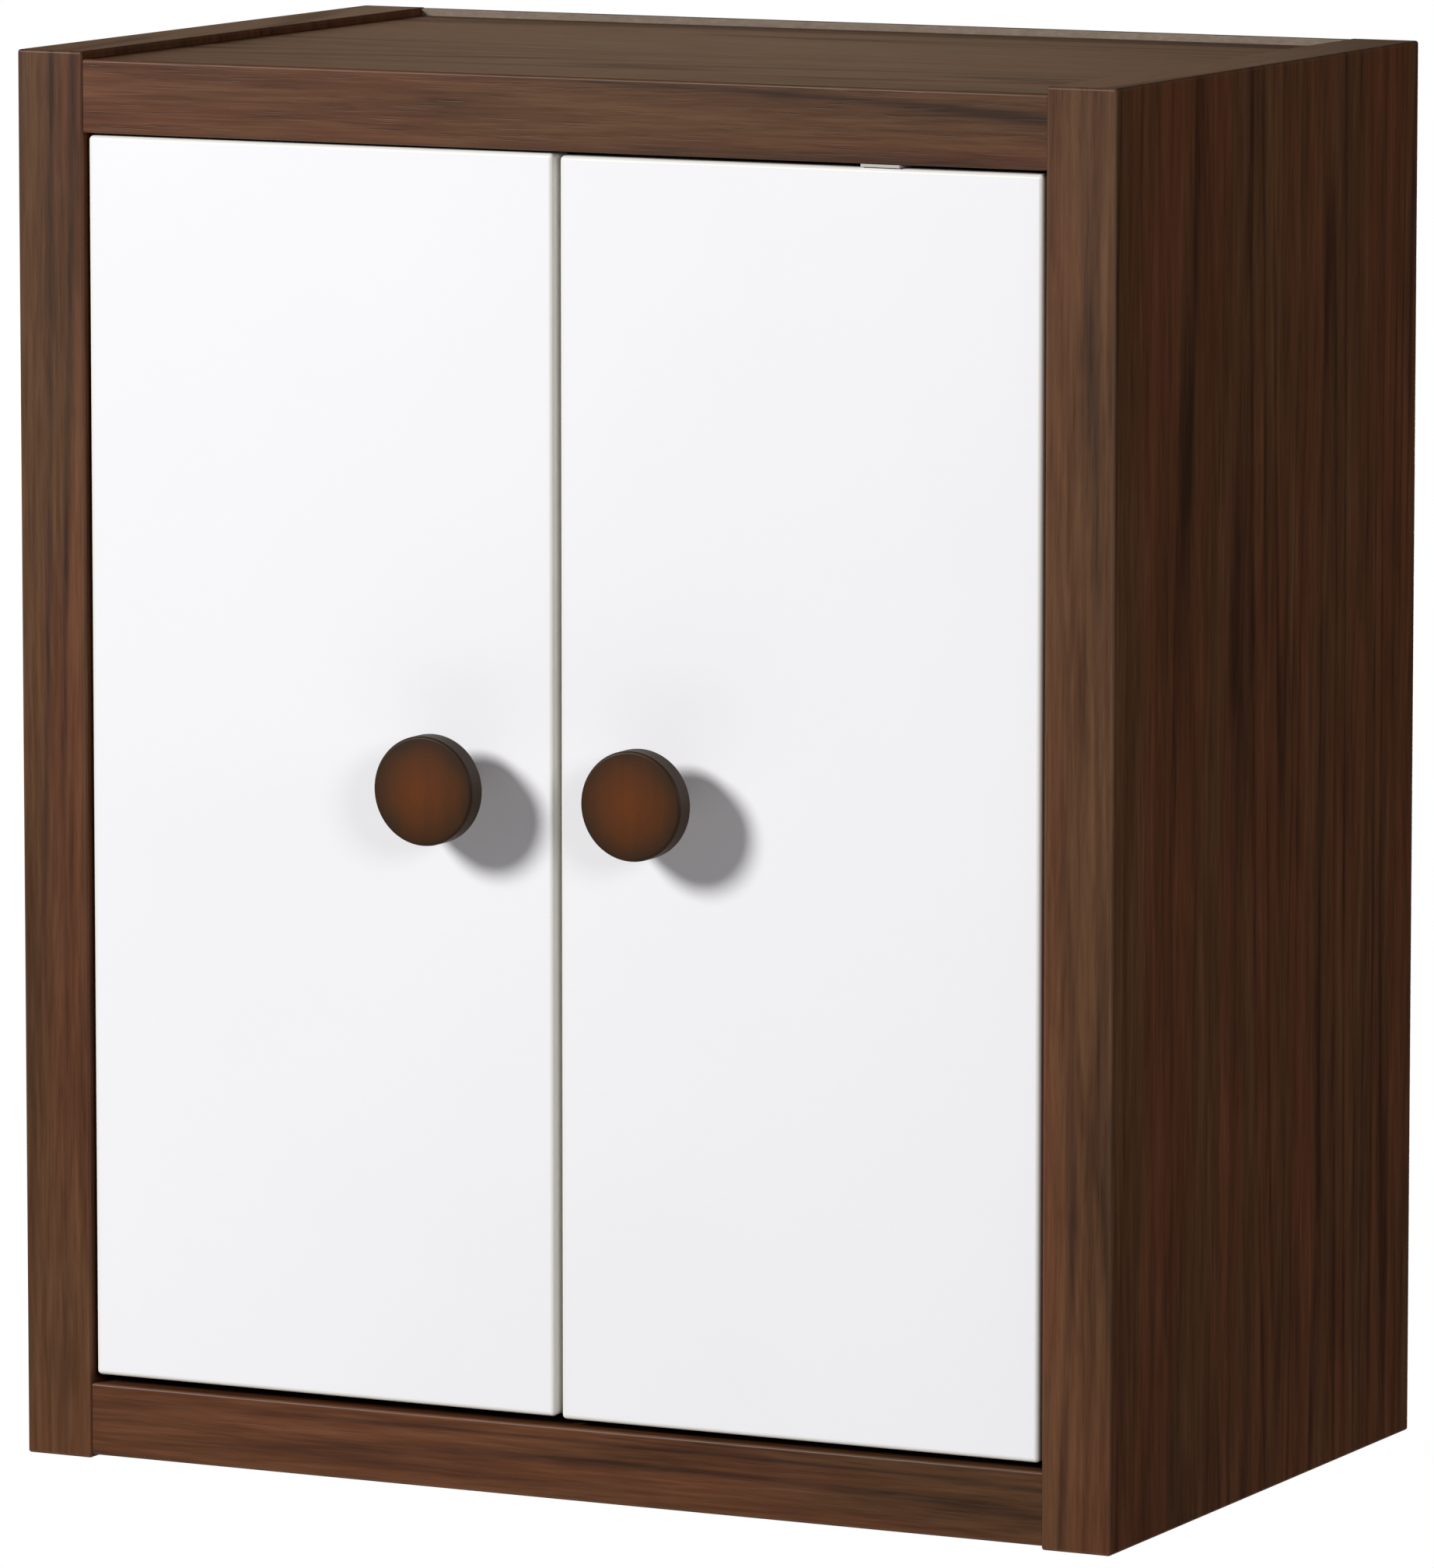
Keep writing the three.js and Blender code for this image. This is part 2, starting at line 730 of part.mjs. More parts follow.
// The catch hangs under the top board, its two pole plates facing the strike on the door.
function catchMesh({ name, sign }) {
  const front = doorRear + seat + strike.thickness + clearance + magnetCatch.poleProud;
  const top = topBoardBottom - seat;
  const x = sign * magnetCatch.fromMiddle;
  const body = boxBetween(
    [x - magnetCatch.width / 2, front, top - magnetCatch.height],
    [x + magnetCatch.width / 2, front + magnetCatch.depth, top],
    magnetCatch.edgeRadius,
  );
  const middleZ = top - magnetCatch.height / 2;
  const poles = [-1, 1].map((end) => {
    const z = middleZ + end * magnetCatch.poleGap / 2;
    return boxBetween(
      [x - magnetCatch.poleWidth / 2, front - magnetCatch.poleProud, z - magnetCatch.poleThickness / 2],
      [x + magnetCatch.poleWidth / 2, front + 2, z + magnetCatch.poleThickness / 2],
    );
  });
  const holes = [-1, 1].map((end) => bar(
    'z', top - magnetCatch.height - 1, top + 1,
    [x + end * (magnetCatch.width / 2 - magnetCatch.screwInset), front + magnetCatch.depth / 2],
    magnetCatch.screwRadius,
  ));
  return named(`magnet_catch_${name}`, shaped(body, { add: poles, cut: holes }), whitePlastic());
}

function strikeMesh({ name, sign }) {
  const geometry = plateXZ(
    strike.width, strike.height, strike.cornerRadius, strike.thickness, strike.holeRadius,
  );
  const z = door.height / 2 + door.hang[name] - strike.drop - strike.height / 2;
  geometry.translate(sign * magnetCatch.fromMiddle, doorRear + seat, z);
  return named(`strike_plate_${name}`, geometry, zinc());
}

// An angle under the top board: its flange shows in the gap above the right door,
// and its leg stops that door.
function doorStopMesh() {
  const top = topBoardBottom - seat;
  const left = doorStop.fromMiddle - doorStop.width / 2;
  const right = left + doorStop.width;
  const legFront = doorRear + 0.4;
  const legRear = legFront + doorStop.leg;
  const flange = boxBetween(
    [left, boardFront + 0.5, top - doorStop.flange],
    [right, legRear + doorStop.reach, top],
  );
  const leg = boxBetween(
    [left, legFront, top - doorStop.legHeight],
    [right, legRear, top - doorStop.flange / 2],
  );
  const screwY = legRear + doorStop.reach / 2;
  const hole = bar(
    'z', top - doorStop.flange - 1, top + 1, [doorStop.fromMiddle, screwY], doorStop.screwRadius,
  );
  return named('door_stop', shaped(flange, { add: [leg], cut: [hole] }), greyPlastic());
}

// ---- The cabinet ----

const cabinet = new THREE.Group();
cabinet.name = 'hanging_wall_cabinet';
cabinet.add(
  ...sides.map(sidePanel),
  ...boards.map(carcassBoard),
  backBoard(),
  hangingRail(),
  shelfBoard(),
  ...shelfPins(),
  knockDownFittings(),
  hinges(),
  ...sides.map(doorPanel),
  ...sides.map(knobMesh),
  ...sides.map(knobScrewMesh),
  ...sides.map(catchMesh),
  ...sides.map(strikeMesh),
  doorStopMesh(),
);

export default cabinet;
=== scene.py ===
import math

import bmesh
import bpy
from mathutils import Matrix, Vector


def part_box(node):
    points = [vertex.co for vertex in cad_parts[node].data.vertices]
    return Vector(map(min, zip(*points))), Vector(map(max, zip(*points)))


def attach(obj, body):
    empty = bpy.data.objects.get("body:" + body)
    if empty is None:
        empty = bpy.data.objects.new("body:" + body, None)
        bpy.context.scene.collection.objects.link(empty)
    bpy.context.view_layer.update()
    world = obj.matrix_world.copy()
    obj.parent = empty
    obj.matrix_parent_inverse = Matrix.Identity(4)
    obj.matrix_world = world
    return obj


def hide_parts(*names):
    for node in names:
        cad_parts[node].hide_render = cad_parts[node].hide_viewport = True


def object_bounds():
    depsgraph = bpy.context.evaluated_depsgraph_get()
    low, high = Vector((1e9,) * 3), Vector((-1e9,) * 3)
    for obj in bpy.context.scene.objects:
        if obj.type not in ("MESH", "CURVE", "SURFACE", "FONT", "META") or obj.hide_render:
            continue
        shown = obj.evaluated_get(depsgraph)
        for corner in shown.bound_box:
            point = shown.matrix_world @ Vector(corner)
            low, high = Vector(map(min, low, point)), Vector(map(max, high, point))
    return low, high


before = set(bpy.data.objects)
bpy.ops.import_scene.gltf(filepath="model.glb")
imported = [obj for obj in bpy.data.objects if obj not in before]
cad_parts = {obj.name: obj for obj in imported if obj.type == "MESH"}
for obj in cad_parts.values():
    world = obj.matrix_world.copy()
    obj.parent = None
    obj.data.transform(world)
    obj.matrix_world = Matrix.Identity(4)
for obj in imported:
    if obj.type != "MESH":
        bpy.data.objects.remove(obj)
cadLow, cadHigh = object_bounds()
mm = 0.001
sideNames = {"left": -1, "right": 1}
levelNames = ("upper", "lower")
places = ("front", "rear")
print("frame loaded:", len(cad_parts), "nodes")


# shader building: a wire is the output of a node, and can be used in sums

class Wire:
    def __init__(self, shader, socket):
        self.shader = shader
        self.socket = socket

    def math(self, operation, other=0.0, swapped=False):
        values = [other, self] if swapped else [self, other]
        return self.shader.node("ShaderNodeMath", {"operation": operation}, values)

    def __add__(self, other):
        return self.math("ADD", other)

    def __radd__(self, other):
        return self.math("ADD", other)

    def __sub__(self, other):
        return self.math("SUBTRACT", other)

    def __rsub__(self, other):
        return self.math("SUBTRACT", other, swapped=True)

    def __mul__(self, other):
        return self.math("MULTIPLY", other)

    def __rmul__(self, other):
        return self.math("MULTIPLY", other)

    def wave(self):
        return self.math("SINE")

    def between(self, low, high):  # 0 under low, 1 over high, smooth in the middle
        settings = {"interpolation_type": "SMOOTHSTEP"}
        inputs = {"Value": self, "From Min": low, "From Max": high}
        return self.shader.node("ShaderNodeMapRange", settings, inputs)


class Shader:
    def __init__(self, name):
        self.material = bpy.data.materials.new(name)
        self.material.use_nodes = True
        self.tree = self.material.node_tree
        self.surface = self.tree.nodes["Principled BSDF"]
        self.place = self.node("ShaderNodeTexCoord", {}, {}, "Object")

    def feed(self, socket, value):
        if isinstance(value, Wire):
            self.tree.links.new(value.socket, socket)
        else:
            socket.default_value = value

    def node(self, kind, settings, inputs, output=0):
        made = self.tree.nodes.new(kind)
        for key, value in settings.items():
            if key == "stops":
                self.setStops(made.color_ramp, value)
            else:
                setattr(made, key, value)
        pairs = inputs.items() if isinstance(inputs, dict) else enumerate(inputs)
        for key, value in pairs:
            self.feed(made.inputs[key], value)
        return Wire(self, made.outputs[output])

    def setStops(self, ramp, stops):
        while len(ramp.elements) < len(stops):
            ramp.elements.new(1.0)
        for element, (position, color) in zip(ramp.elements, stops):
            element.position = position
            element.color = (*color, 1.0)

    def vector(self, operation, values, output=0):
        return self.node("ShaderNodeVectorMath", {"operation": operation}, values, output)

    def stretched(self, scales, offset=(0, 0, 0)):
        moved = self.vector("ADD", [self.place, offset])
        return self.vector("MULTIPLY", [moved, scales])

    def noise(self, where, scale=1.0, detail=2.0, roughness=0.5, distortion=0.0):
        inputs = {
            "Vector": where, "Scale": scale, "Detail": detail,
            "Roughness": roughness, "Distortion": distortion,
        }
        return self.node("ShaderNodeTexNoise", {}, inputs)

    # noise drawn out along one axis, from its scales along and across that axis
    def grained(self, grain, along, across, offset=(0, 0, 0), **look):
        scales = [across] * 3
        scales["XYZ".index(grain)] = along
        return self.noise(self.stretched(scales, offset), **look)

    def ramp(self, value, stops):
        return self.node("ShaderNodeValToRGB", {"stops": stops}, [value])

    def mixed(self, amount, first, second, blend="MIX"):
        made = self.tree.nodes.new("ShaderNodeMix")
        made.data_type = "RGBA"
        made.blend_type = blend
        for name, value in (("Factor_Float", amount), ("A_Color", first), ("B_Color", second)):
            socket = next(s for s in made.inputs if s.identifier == name)
            self.feed(socket, value if isinstance(value, (Wire, float)) else (*value, 1.0))
        return Wire(self, next(s for s in made.outputs if s.identifier == "Result_Color"))

    def bump(self, height, distance, strength):
        inputs = {"Height": height, "Distance": distance, "Strength": strength}
        return self.node("ShaderNodeBump", {}, inputs)

    def finish(self, **sockets):
        for name, value in sockets.items():
            self.feed(self.surface.inputs[name.replace("_", " ")], value)
        return self.material


# walnut laminate: streaks and fibres along the grain, dark growth lines that follow the contours
# of a slow noise, broad bands that lean to red or to olive, and a painted highlight on the rounded
# edges
walnut = {
    "dark": (0.034, 0.0122, 0.0046),
    "middle": (0.092, 0.0348, 0.0137),
    "light": (0.156, 0.0660, 0.0290),
    "redBand": (1.09, 0.96, 0.92),
    "oliveBand": (0.91, 1.01, 0.96),
    # the next two entries paint a highlight on the rounded edges: a lighter brown mixed into them,
    # standing in for light that catches the edges
    "edgeHighlight": (0.190, 0.115, 0.075),
    "edgeHighlightShare": 0.16,  # how much of the painted highlight colour the rounded edges take
    "lines": 96.0,  # radians of the growth lines' wave as the figure goes from 0 to 1
    "figure": (0.65, 13.0),  # from here to lean, each pattern's scales along and across the grain
    "fade": (2.4, 26.0),
    "streaks": (7.0, 105.0),
    "fibres": (24.0, 560.0),
    "pores": (45.0, 1400.0),
    "lean": (3.0, 30.0),
    "relief": 0.09 * mm,
    "shine": 0.22,
}


def walnutFinish(name, grain, band=False):
    shader = Shader(name)
    figure = shader.grained(grain, *walnut["figure"], detail=1.5, roughness=0.4)
    lines = ((figure * walnut["lines"]).wave() * 0.5 + 0.5).math("POWER", 5.0)
    fade = shader.grained(grain, *walnut["fade"], (0.3, 0.9, 0.5), detail=1.0)
    lines = lines * fade.between(0.36, 0.6)
    streaks = shader.grained(grain, *walnut["streaks"], detail=4.0, roughness=0.6, distortion=0.5)
    fibres = shader.grained(grain, *walnut["fibres"], detail=3.0, roughness=0.6, distortion=0.3)
    pores = shader.grained(grain, *walnut["pores"], detail=1.0).between(0.58, 0.72)
    tone = 0.53 + (streaks - 0.5) * 1.0 + (fibres - 0.5) * 0.7 - lines * 0.32 - pores * 0.1
    stops = [(0.08, walnut["dark"]), (0.5, walnut["middle"]), (0.92, walnut["light"])]
    color = shader.ramp(tone, stops)
    lean = shader.grained(grain, *walnut["lean"], (0.7, 0.2, 0.1), detail=2.0)
    tint = shader.mixed(lean.between(0.36, 0.64), walnut["oliveBand"], walnut["redBand"])
    color = shader.mixed(1.0, color, tint, "MULTIPLY")
    # painted highlight: the rounded edges are mixed towards a lighter brown
    if band:
        color = shader.mixed(walnut["edgeHighlightShare"], color, walnut["edgeHighlight"])
    roughness = 0.44 + (fibres - 0.5) * 0.22 + (streaks - 0.5) * 0.1 + lines * 0.05
    normal = shader.bump(fibres * 0.7 + streaks * 0.3 - pores * 0.5, walnut["relief"], 0.55)
    return shader.finish(
        Base_Color=color, Roughness=roughness, Normal=normal, Specular_IOR_Level=walnut["shine"],
    )


# white laminate on the doors, faintly mottled, with a creamier band round its rounded edges that
# is darkened behind the front as painted shade in the gaps round the doors
whiteDoor = {
    "face": (0.898, 0.896, 0.914),
    "shade": (0.878, 0.874, 0.894),
    "band": (0.84, 0.83, 0.79),
    "bandShade": (0.78, 0.76, 0.71),
    # the next three entries paint shade: the edge band darkens towards a grey-olive with depth behind
    # the door's front, where the gaps keep light out
    "gapShade": (0.30, 0.295, 0.235),
    "gapShadeOver": 7 * mm,
    "gapShadeShare": 0.25,
    "front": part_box("door_left")[0].y,
    "relief": 0.03 * mm,
    "shine": 0.4,
}


def whiteFinish(name, band=False):
    shader = Shader(name)
    cloud = shader.noise(shader.place, scale=5.0, detail=3.0)
    skin = shader.noise(shader.place, scale=850.0, detail=2.0)
    if band:
        color = shader.mixed((cloud - 0.4) * 0.5, whiteDoor["band"], whiteDoor["bandShade"])
        # painted shade: the band is darkened with depth behind the door's front
        depth = shader.node("ShaderNodeSeparateXYZ", {}, [shader.place], "Y") - whiteDoor["front"]
        gapShading = depth.between(0, whiteDoor["gapShadeOver"]) * whiteDoor["gapShadeShare"]
        color = shader.mixed(gapShading, color, whiteDoor["gapShade"])
    else:
        color = shader.mixed(cloud.between(0.3, 0.75), whiteDoor["face"], whiteDoor["shade"])
    roughness = 0.40 + (cloud - 0.5) * 0.14 + (skin - 0.5) * 0.06
    normal = shader.bump(skin + cloud * 0.8, whiteDoor["relief"], 0.5)
    return shader.finish(
        Base_Color=color, Roughness=roughness, Normal=normal, Specular_IOR_Level=whiteDoor["shine"],
    )


# stained knobs: warm in the middle of the face, darker towards the rim as painted shade of a domed
# face, and darker and greyer down the side
knobStainAndShade = {
    # heart to rim is painted shade across the face, lighter in the middle and darker at the rim; the
    # rim colour also darkens the rings
    "heart": (0.114, 0.0285, 0.0028),
    "mid": (0.080, 0.0225, 0.0030),
    "rim": (0.029, 0.0130, 0.0040),
    "side": (0.036, 0.0200, 0.0095),
    "radius": 23 * mm,
    "turnsToSide": (1.2 * mm, 4.2 * mm),  # how far behind the face the side's colour comes in
    "relief": 0.06 * mm,
    "shine": 0.18,
}


def knobFinish(name, centre, faceY):
    shader = Shader(name)
    offset = [-centre.x, -centre.y, -centre.z]
    local = shader.vector("ADD", [shader.place, offset])
    flat = shader.vector("MULTIPLY", [local, (1, 0, 1)])
    out = shader.vector("LENGTH", [flat], "Value")
    grain = shader.noise(shader.stretched((420.0, 420.0, 30.0)), detail=3.0, roughness=0.6)
    cloud = shader.noise(shader.place, scale=70.0, detail=3.0)
    rings = shader.noise(shader.stretched((160.0, 60.0, 14.0)), detail=2.0)
    # painted shade: the face darkens from its warm middle out to the rim, as a domed face would shade
    spread = out * (1 / knobStainAndShade["radius"]) + (cloud - 0.5) * 0.35 + (grain - 0.5) * 0.1
    stops = [(0.15, knobStainAndShade["heart"]), (0.62, knobStainAndShade["mid"]), (0.97, knobStainAndShade["rim"])]
    face = shader.ramp(spread, stops)
    face = shader.mixed(rings.between(0.45, 0.7) * 0.2, face, knobStainAndShade["rim"])
    depth = shader.node("ShaderNodeSeparateXYZ", {}, [local], "Y")
    side = (depth + (-faceY + centre.y)).between(*knobStainAndShade["turnsToSide"])
    color = shader.mixed(side, face, knobStainAndShade["side"])
    roughness = 0.48 + (cloud - 0.5) * 0.2 + side * 0.08
    normal = shader.bump(grain + cloud * 0.6, knobStainAndShade["relief"], 0.5)
    return shader.finish(
        Base_Color=color, Roughness=roughness, Normal=normal, Specular_IOR_Level=knobStainAndShade["shine"],
    )


# thin fibreboard of the back, and the chipboard that shows in bores and on the wall side
boardCores = {
    "fibre": [(0.25, (0.115, 0.078, 0.050)), (0.55, (0.185, 0.135, 0.095)), (0.8, (0.27, 0.21, 0.155))],
    "chip": [(0.1, (0.20, 0.125, 0.065)), (0.5, (0.40, 0.285, 0.165)), (0.9, (0.56, 0.43, 0.27))],
    "fibreRelief": 0.12 * mm,
    "chipRelief": 0.25 * mm,
}


def fibreFinish(name):
    shader = Shader(name)
    fleck = shader.grained("X", 160.0, 420.0, detail=4.0, roughness=0.7)
    cloud = shader.noise(shader.place, scale=9.0, detail=3.0)
    color = shader.ramp(fleck * 0.8 + cloud * 0.3 - 0.05, boardCores["fibre"])
    normal = shader.bump(fleck, boardCores["fibreRelief"], 0.6)
    return shader.finish(Base_Color=color, Roughness=0.66 + (fleck - 0.5) * 0.2, Normal=normal)


def chipFinish(name):
    shader = Shader(name)
    inputs = {"Vector": shader.place, "Scale": 330.0}
    chips = shader.node("ShaderNodeTexVoronoi", {}, inputs, "Color")
    pick = shader.node("ShaderNodeSeparateColor", {}, [chips])
    dust = shader.noise(shader.place, scale=900.0, detail=3.0)
    color = shader.ramp(pick * 0.75 + dust * 0.25, boardCores["chip"])
    normal = shader.bump(pick * 0.7 + dust * 0.4, boardCores["chipRelief"], 0.7)
    return shader.finish(Base_Color=color, Roughness=0.8 + (dust - 0.5) * 0.2, Normal=normal)


# plated metal with a faint brushed haze, moulded plastic, and the dowels' beech
fineRelief = {"brush": 0.02 * mm, "plastic": 0.04 * mm, "beech": 0.1 * mm}


def metalFinish(name, color, roughness):
    shader = Shader(name)
    brush = shader.grained("Y", 60.0, 1500.0, detail=3.0)
    haze = shader.noise(shader.place, scale=55.0, detail=3.0)
    tarnished = [c * 0.72 for c in color]
    tint = shader.mixed(haze.between(0.42, 0.78) * 0.6, color, tarnished)
    rough = roughness + (brush - 0.5) * 0.18 + (haze - 0.5) * 0.16
    normal = shader.bump(brush, fineRelief["brush"], 0.5)
    return shader.finish(Base_Color=tint, Metallic=1.0, Roughness=rough, Normal=normal)


def plasticFinish(name, color):
    shader = Shader(name)
    grain = shader.noise(shader.place, scale=1400.0, detail=2.0)
    cloud = shader.noise(shader.place, scale=40.0, detail=2.0)
    tint = shader.mixed(cloud.between(0.3, 0.8) * 0.5, color, [c * 0.9 for c in color])
    normal = shader.bump(grain, fineRelief["plastic"], 0.5)
    return shader.finish(Base_Color=tint, Roughness=0.46 + (grain - 0.5) * 0.2, Normal=normal)


def beechFinish(name):
    shader = Shader(name)
    grain = shader.grained("X", 25.0, 700.0, detail=3.0)
    color = shader.ramp(grain, [(0.3, (0.42, 0.25, 0.11)), (0.7, (0.62, 0.42, 0.22))])
    normal = shader.bump(grain, fineRelief["beech"], 0.5)
    return shader.finish(Base_Color=color, Roughness=0.65 + (grain - 0.5) * 0.2, Normal=normal)


walnutTall = walnutFinish("walnut_tall", "Z")
walnutTallBand = walnutFinish("walnut_tall_band", "Z", band=True)
walnutWide = walnutFinish("walnut_wide", "X")
walnutWideBand = walnutFinish("walnut_wide_band", "X", band=True)
walnutDeep = walnutFinish("walnut_deep", "Y")
whiteFace = whiteFinish("white_laminate")
whiteBand = whiteFinish("white_laminate_band", band=True)
fibreBoard = fibreFinish("back_fibreboard")
chipBoard = chipFinish("chipboard_core")
nickelPlate = metalFinish("nickel_plate", (0.62, 0.61, 0.58), 0.27)
zincPlate = metalFinish("zinc_plate", (0.47, 0.48, 0.50), 0.40)
# painted shade: a near-black metal on the faces inside the screw and cam-lock crosses
recessShade = metalFinish("screw_recess_shade", (0.10, 0.10, 0.10), 0.55)
greyPlastic = plasticFinish("grey_plastic", (0.50, 0.48, 0.44))
whitePlastic = plasticFinish("white_plastic", (0.76, 0.75, 0.71))
beechDowel = beechFinish("beech_dowel")
print("materials made")


# mesh helpers

def blockMesh(low, high, radius=0.0, segments=3):
    bm = bmesh.new()
    bmesh.ops.create_cube(bm, size=1.0)
    bmesh.ops.scale(bm, vec=Vector(high) - Vector(low), verts=bm.verts)
    bmesh.ops.translate(bm, vec=(Vector(low) + Vector(high)) / 2, verts=bm.verts)
    if radius:
        roundEdges(bm, bm.edges[:], radius, segments)
    return bm


def roundEdges(bm, edges, radius, segments):
    bmesh.ops.bevel(
        bm, geom=edges, offset=radius, offset_type="OFFSET", affect="EDGES",
        segments=segments, profile=0.5, material=-1, clamp_overlap=True,
    )


# a turned shape from (distance, radius) pairs that starts and ends on the axis; it stands along +Z
def turnedMesh(outline, steps):
    bm = bmesh.new()
    verts = [bm.verts.new((radius, 0, along)) for along, radius in outline]
    edges = [bm.edges.new(pair) for pair in zip(verts, verts[1:])]
    bmesh.ops.spin(
        bm, geom=verts + edges, cent=(0, 0, 0), axis=(0, 0, 1),
        angle=math.tau, steps=steps, use_merge=True,
    )
    bmesh.ops.remove_doubles(bm, verts=bm.verts, dist=1e-6)
    bmesh.ops.recalc_face_normals(bm, faces=bm.faces)
    return bm


def barMesh(radius, start, end, steps):
    return turnedMesh([(start, 0), (start, radius), (end, radius), (end, 0)], steps)


def inMetres(outline):
    return [(along * mm, across * mm) for along, across in outline]


def sharpEdges(bm, over=1):  # edges that fold by more than this many radians
    return [edge for edge in bm.edges if edge.calc_face_angle(0) > over]


def edgesAlong(bm, axis, longer):
    return [e for e in bm.edges if abs((e.verts[0].co - e.verts[1].co)[axis]) > longer]


# turns a mesh that stands along +Z to point along a direction, then moves it
def placed(bm, direction, point):
    turn = Vector((0, 0, 1)).rotation_difference(Vector(direction)).to_matrix().to_4x4()
    bmesh.ops.transform(bm, matrix=Matrix.Translation(point) @ turn, verts=bm.verts)
    return bm


def joined(meshes):
    whole = bmesh.new()
    for bm in meshes:
        part = bpy.data.meshes.new("part")
        bm.to_mesh(part)
        bm.free()
        whole.from_mesh(part)
        bpy.data.meshes.remove(part)
    return whole


def bored(bm, cutters):
    objects = []
    for name, source in (("solid", bm), ("cutter", joined(cutters))):
        mesh = bpy.data.meshes.new(name)
        source.to_mesh(mesh)
        source.free()
        piece = bpy.data.objects.new(name, mesh)
        bpy.context.collection.objects.link(piece)
        objects.append(piece)
    solid, cutter = objects
    cut = solid.modifiers.new("cut", "BOOLEAN")
    cut.operation = "DIFFERENCE"
    cut.solver = "EXACT"
    cut.object = cutter
    graph = bpy.context.evaluated_depsgraph_get()
    shaped = bpy.data.meshes.new_from_object(solid.evaluated_get(graph))
    result = bmesh.new()
    result.from_mesh(shaped)
    bpy.data.meshes.remove(shaped)
    for piece in objects:
        bpy.data.meshes.remove(piece.data)
    return result


# a copy of a CAD node with its edges softened; the angles are in degrees
softening = {"merge": 0.002 * mm, "flatUnder": 1, "sharpOver": 32, "segments": 2}


def softened(node, radius):
    bm = bmesh.new()
    bm.from_mesh(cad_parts[node].data)
    bmesh.ops.remove_doubles(bm, verts=bm.verts, dist=softening["merge"])
    flat = math.radians(softening["flatUnder"])
    bmesh.ops.dissolve_limit(bm, angle_limit=flat, verts=bm.verts, edges=bm.edges)
    sharp = sharpEdges(bm, math.radians(softening["sharpOver"]))
    roundEdges(bm, sharp, radius, softening["segments"])
    return bm


def makePiece(name, bm, finishes, body, nodes=(), sharpOver=38):
    for face in bm.faces:
        face.smooth = True
    for edge in bm.edges:
        edge.smooth = edge.calc_face_angle(0) < math.radians(sharpOver)
    mesh = bpy.data.meshes.new(name)
    bm.to_mesh(mesh)
    bm.free()
    piece = bpy.data.objects.new(name, mesh)
    bpy.context.collection.objects.link(piece)
    for finish in finishes:
        mesh.materials.append(finish)
    weigh = piece.modifiers.new("weighted normals", "WEIGHTED_NORMAL")
    weigh.keep_sharp = True
    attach(piece, body)
    if nodes:
        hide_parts(*nodes)
    return piece


# gives each flat face of a board the finish for the way it faces, rounded edges the band, and
# whatever lies deeper than the skin the core
def dressBoard(bm, low, high, facing, band, core, skin):
    for face in bm.faces:
        normal = face.normal
        axis = max(range(3), key=lambda i: abs(normal[i]))
        centre = face.calc_center_median()
        inside = min(min(centre[i] - low[i], high[i] - centre[i]) for i in range(3))
        side = "XYZ"[axis] + ("+" if normal[axis] > 0 else "-")
        if inside > skin:
            face.material_index = core
        elif abs(normal[axis]) > 0.999:
            face.material_index = facing.get(side, facing.get("XYZ"[axis], band))
        else:
            face.material_index = band


# the carcass
boards = {
    "edge": 1.2 * mm, "segments": 4, "skin": 1.44 * mm,
    "shelfHole": 2.6 * mm, "holeDepth": 10 * mm, "rowPitch": 32 * mm, "rows": range(-2, 3),
    "pegBelowTop": 2.5 * mm,  # a shelf peg's middle, from the top of its tongue
    "lockBore": 7.55 * mm, "lockPlay": 0.2 * mm,
    "innerEdge": 0.8 * mm, "innerSegments": 3, "innerSkin": 1 * mm,  # the shelf and the rail
}
wideFinishes = [walnutWide, walnutWideBand, chipBoard]


def sidePanels():
    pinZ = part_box("shelf_pin_left_front")[1].z - boards["pegBelowTop"]
    columns = [sum(v.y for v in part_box(f"shelf_pin_left_{place}")) / 2 for place in places]
    for side, sign in sideNames.items():
        low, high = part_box(f"side_panel_{side}")
        panel = blockMesh(low, high, boards["edge"], boards["segments"])
        inner = low.x if sign > 0 else high.x
        holes = []
        for y in columns:
            for row in boards["rows"]:
                hole = barMesh(boards["shelfHole"], -mm, boards["holeDepth"], 20)
                spot = (inner, y, pinZ + row * boards["rowPitch"])
                holes.append(placed(hole, (sign, 0, 0), spot))
        panel = bored(panel, holes)
        dressBoard(panel, low, high, {"X": 0, "Y-": 0, "Z": 2, "Y+": 3}, 1, 3, boards["skin"])
        makePiece(
            f"sidePanel_{side}", panel, [walnutTall, walnutTallBand, walnutDeep, chipBoard],
            "carcass", [f"side_panel_{side}"],
        )


def crossBoards():
    for board in ("top", "bottom"):
        low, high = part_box(f"{board}_board")
        slab = blockMesh(low, high)
        roundEdges(slab, edgesAlong(slab, 0, mm), boards["edge"], boards["segments"])
        bores = []
        for side in sideNames:
            for place in places:
                lockLow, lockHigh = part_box(f"cam_lock_{board}_{side}_{place}")
                centre = (lockLow + lockHigh) / 2
                depth = lockHigh.z - low.z + boards["lockPlay"]
                bore = barMesh(boards["lockBore"], -mm, depth, 40)
                bores.append(placed(bore, (0, 0, 1), (centre.x, centre.y, low.z)))
        slab = bored(slab, bores)
        dressBoard(slab, low, high, {"Z": 0, "Y-": 0, "Y+": 2, "X": 2}, 1, 2, boards["skin"])
        makePiece(f"{board}Board", slab, wideFinishes, "carcass", [f"{board}_board"])


# the two screws that hang the cabinet, through the rail and the back
wallScrews = {
    "x": (-150 * mm, 150 * mm), "belowRailTop": 29.9 * mm,
    "sink": 6.5 * mm, "sinkDepth": 4 * mm, "bore": 3.2 * mm, "reach": 20 * mm,
}


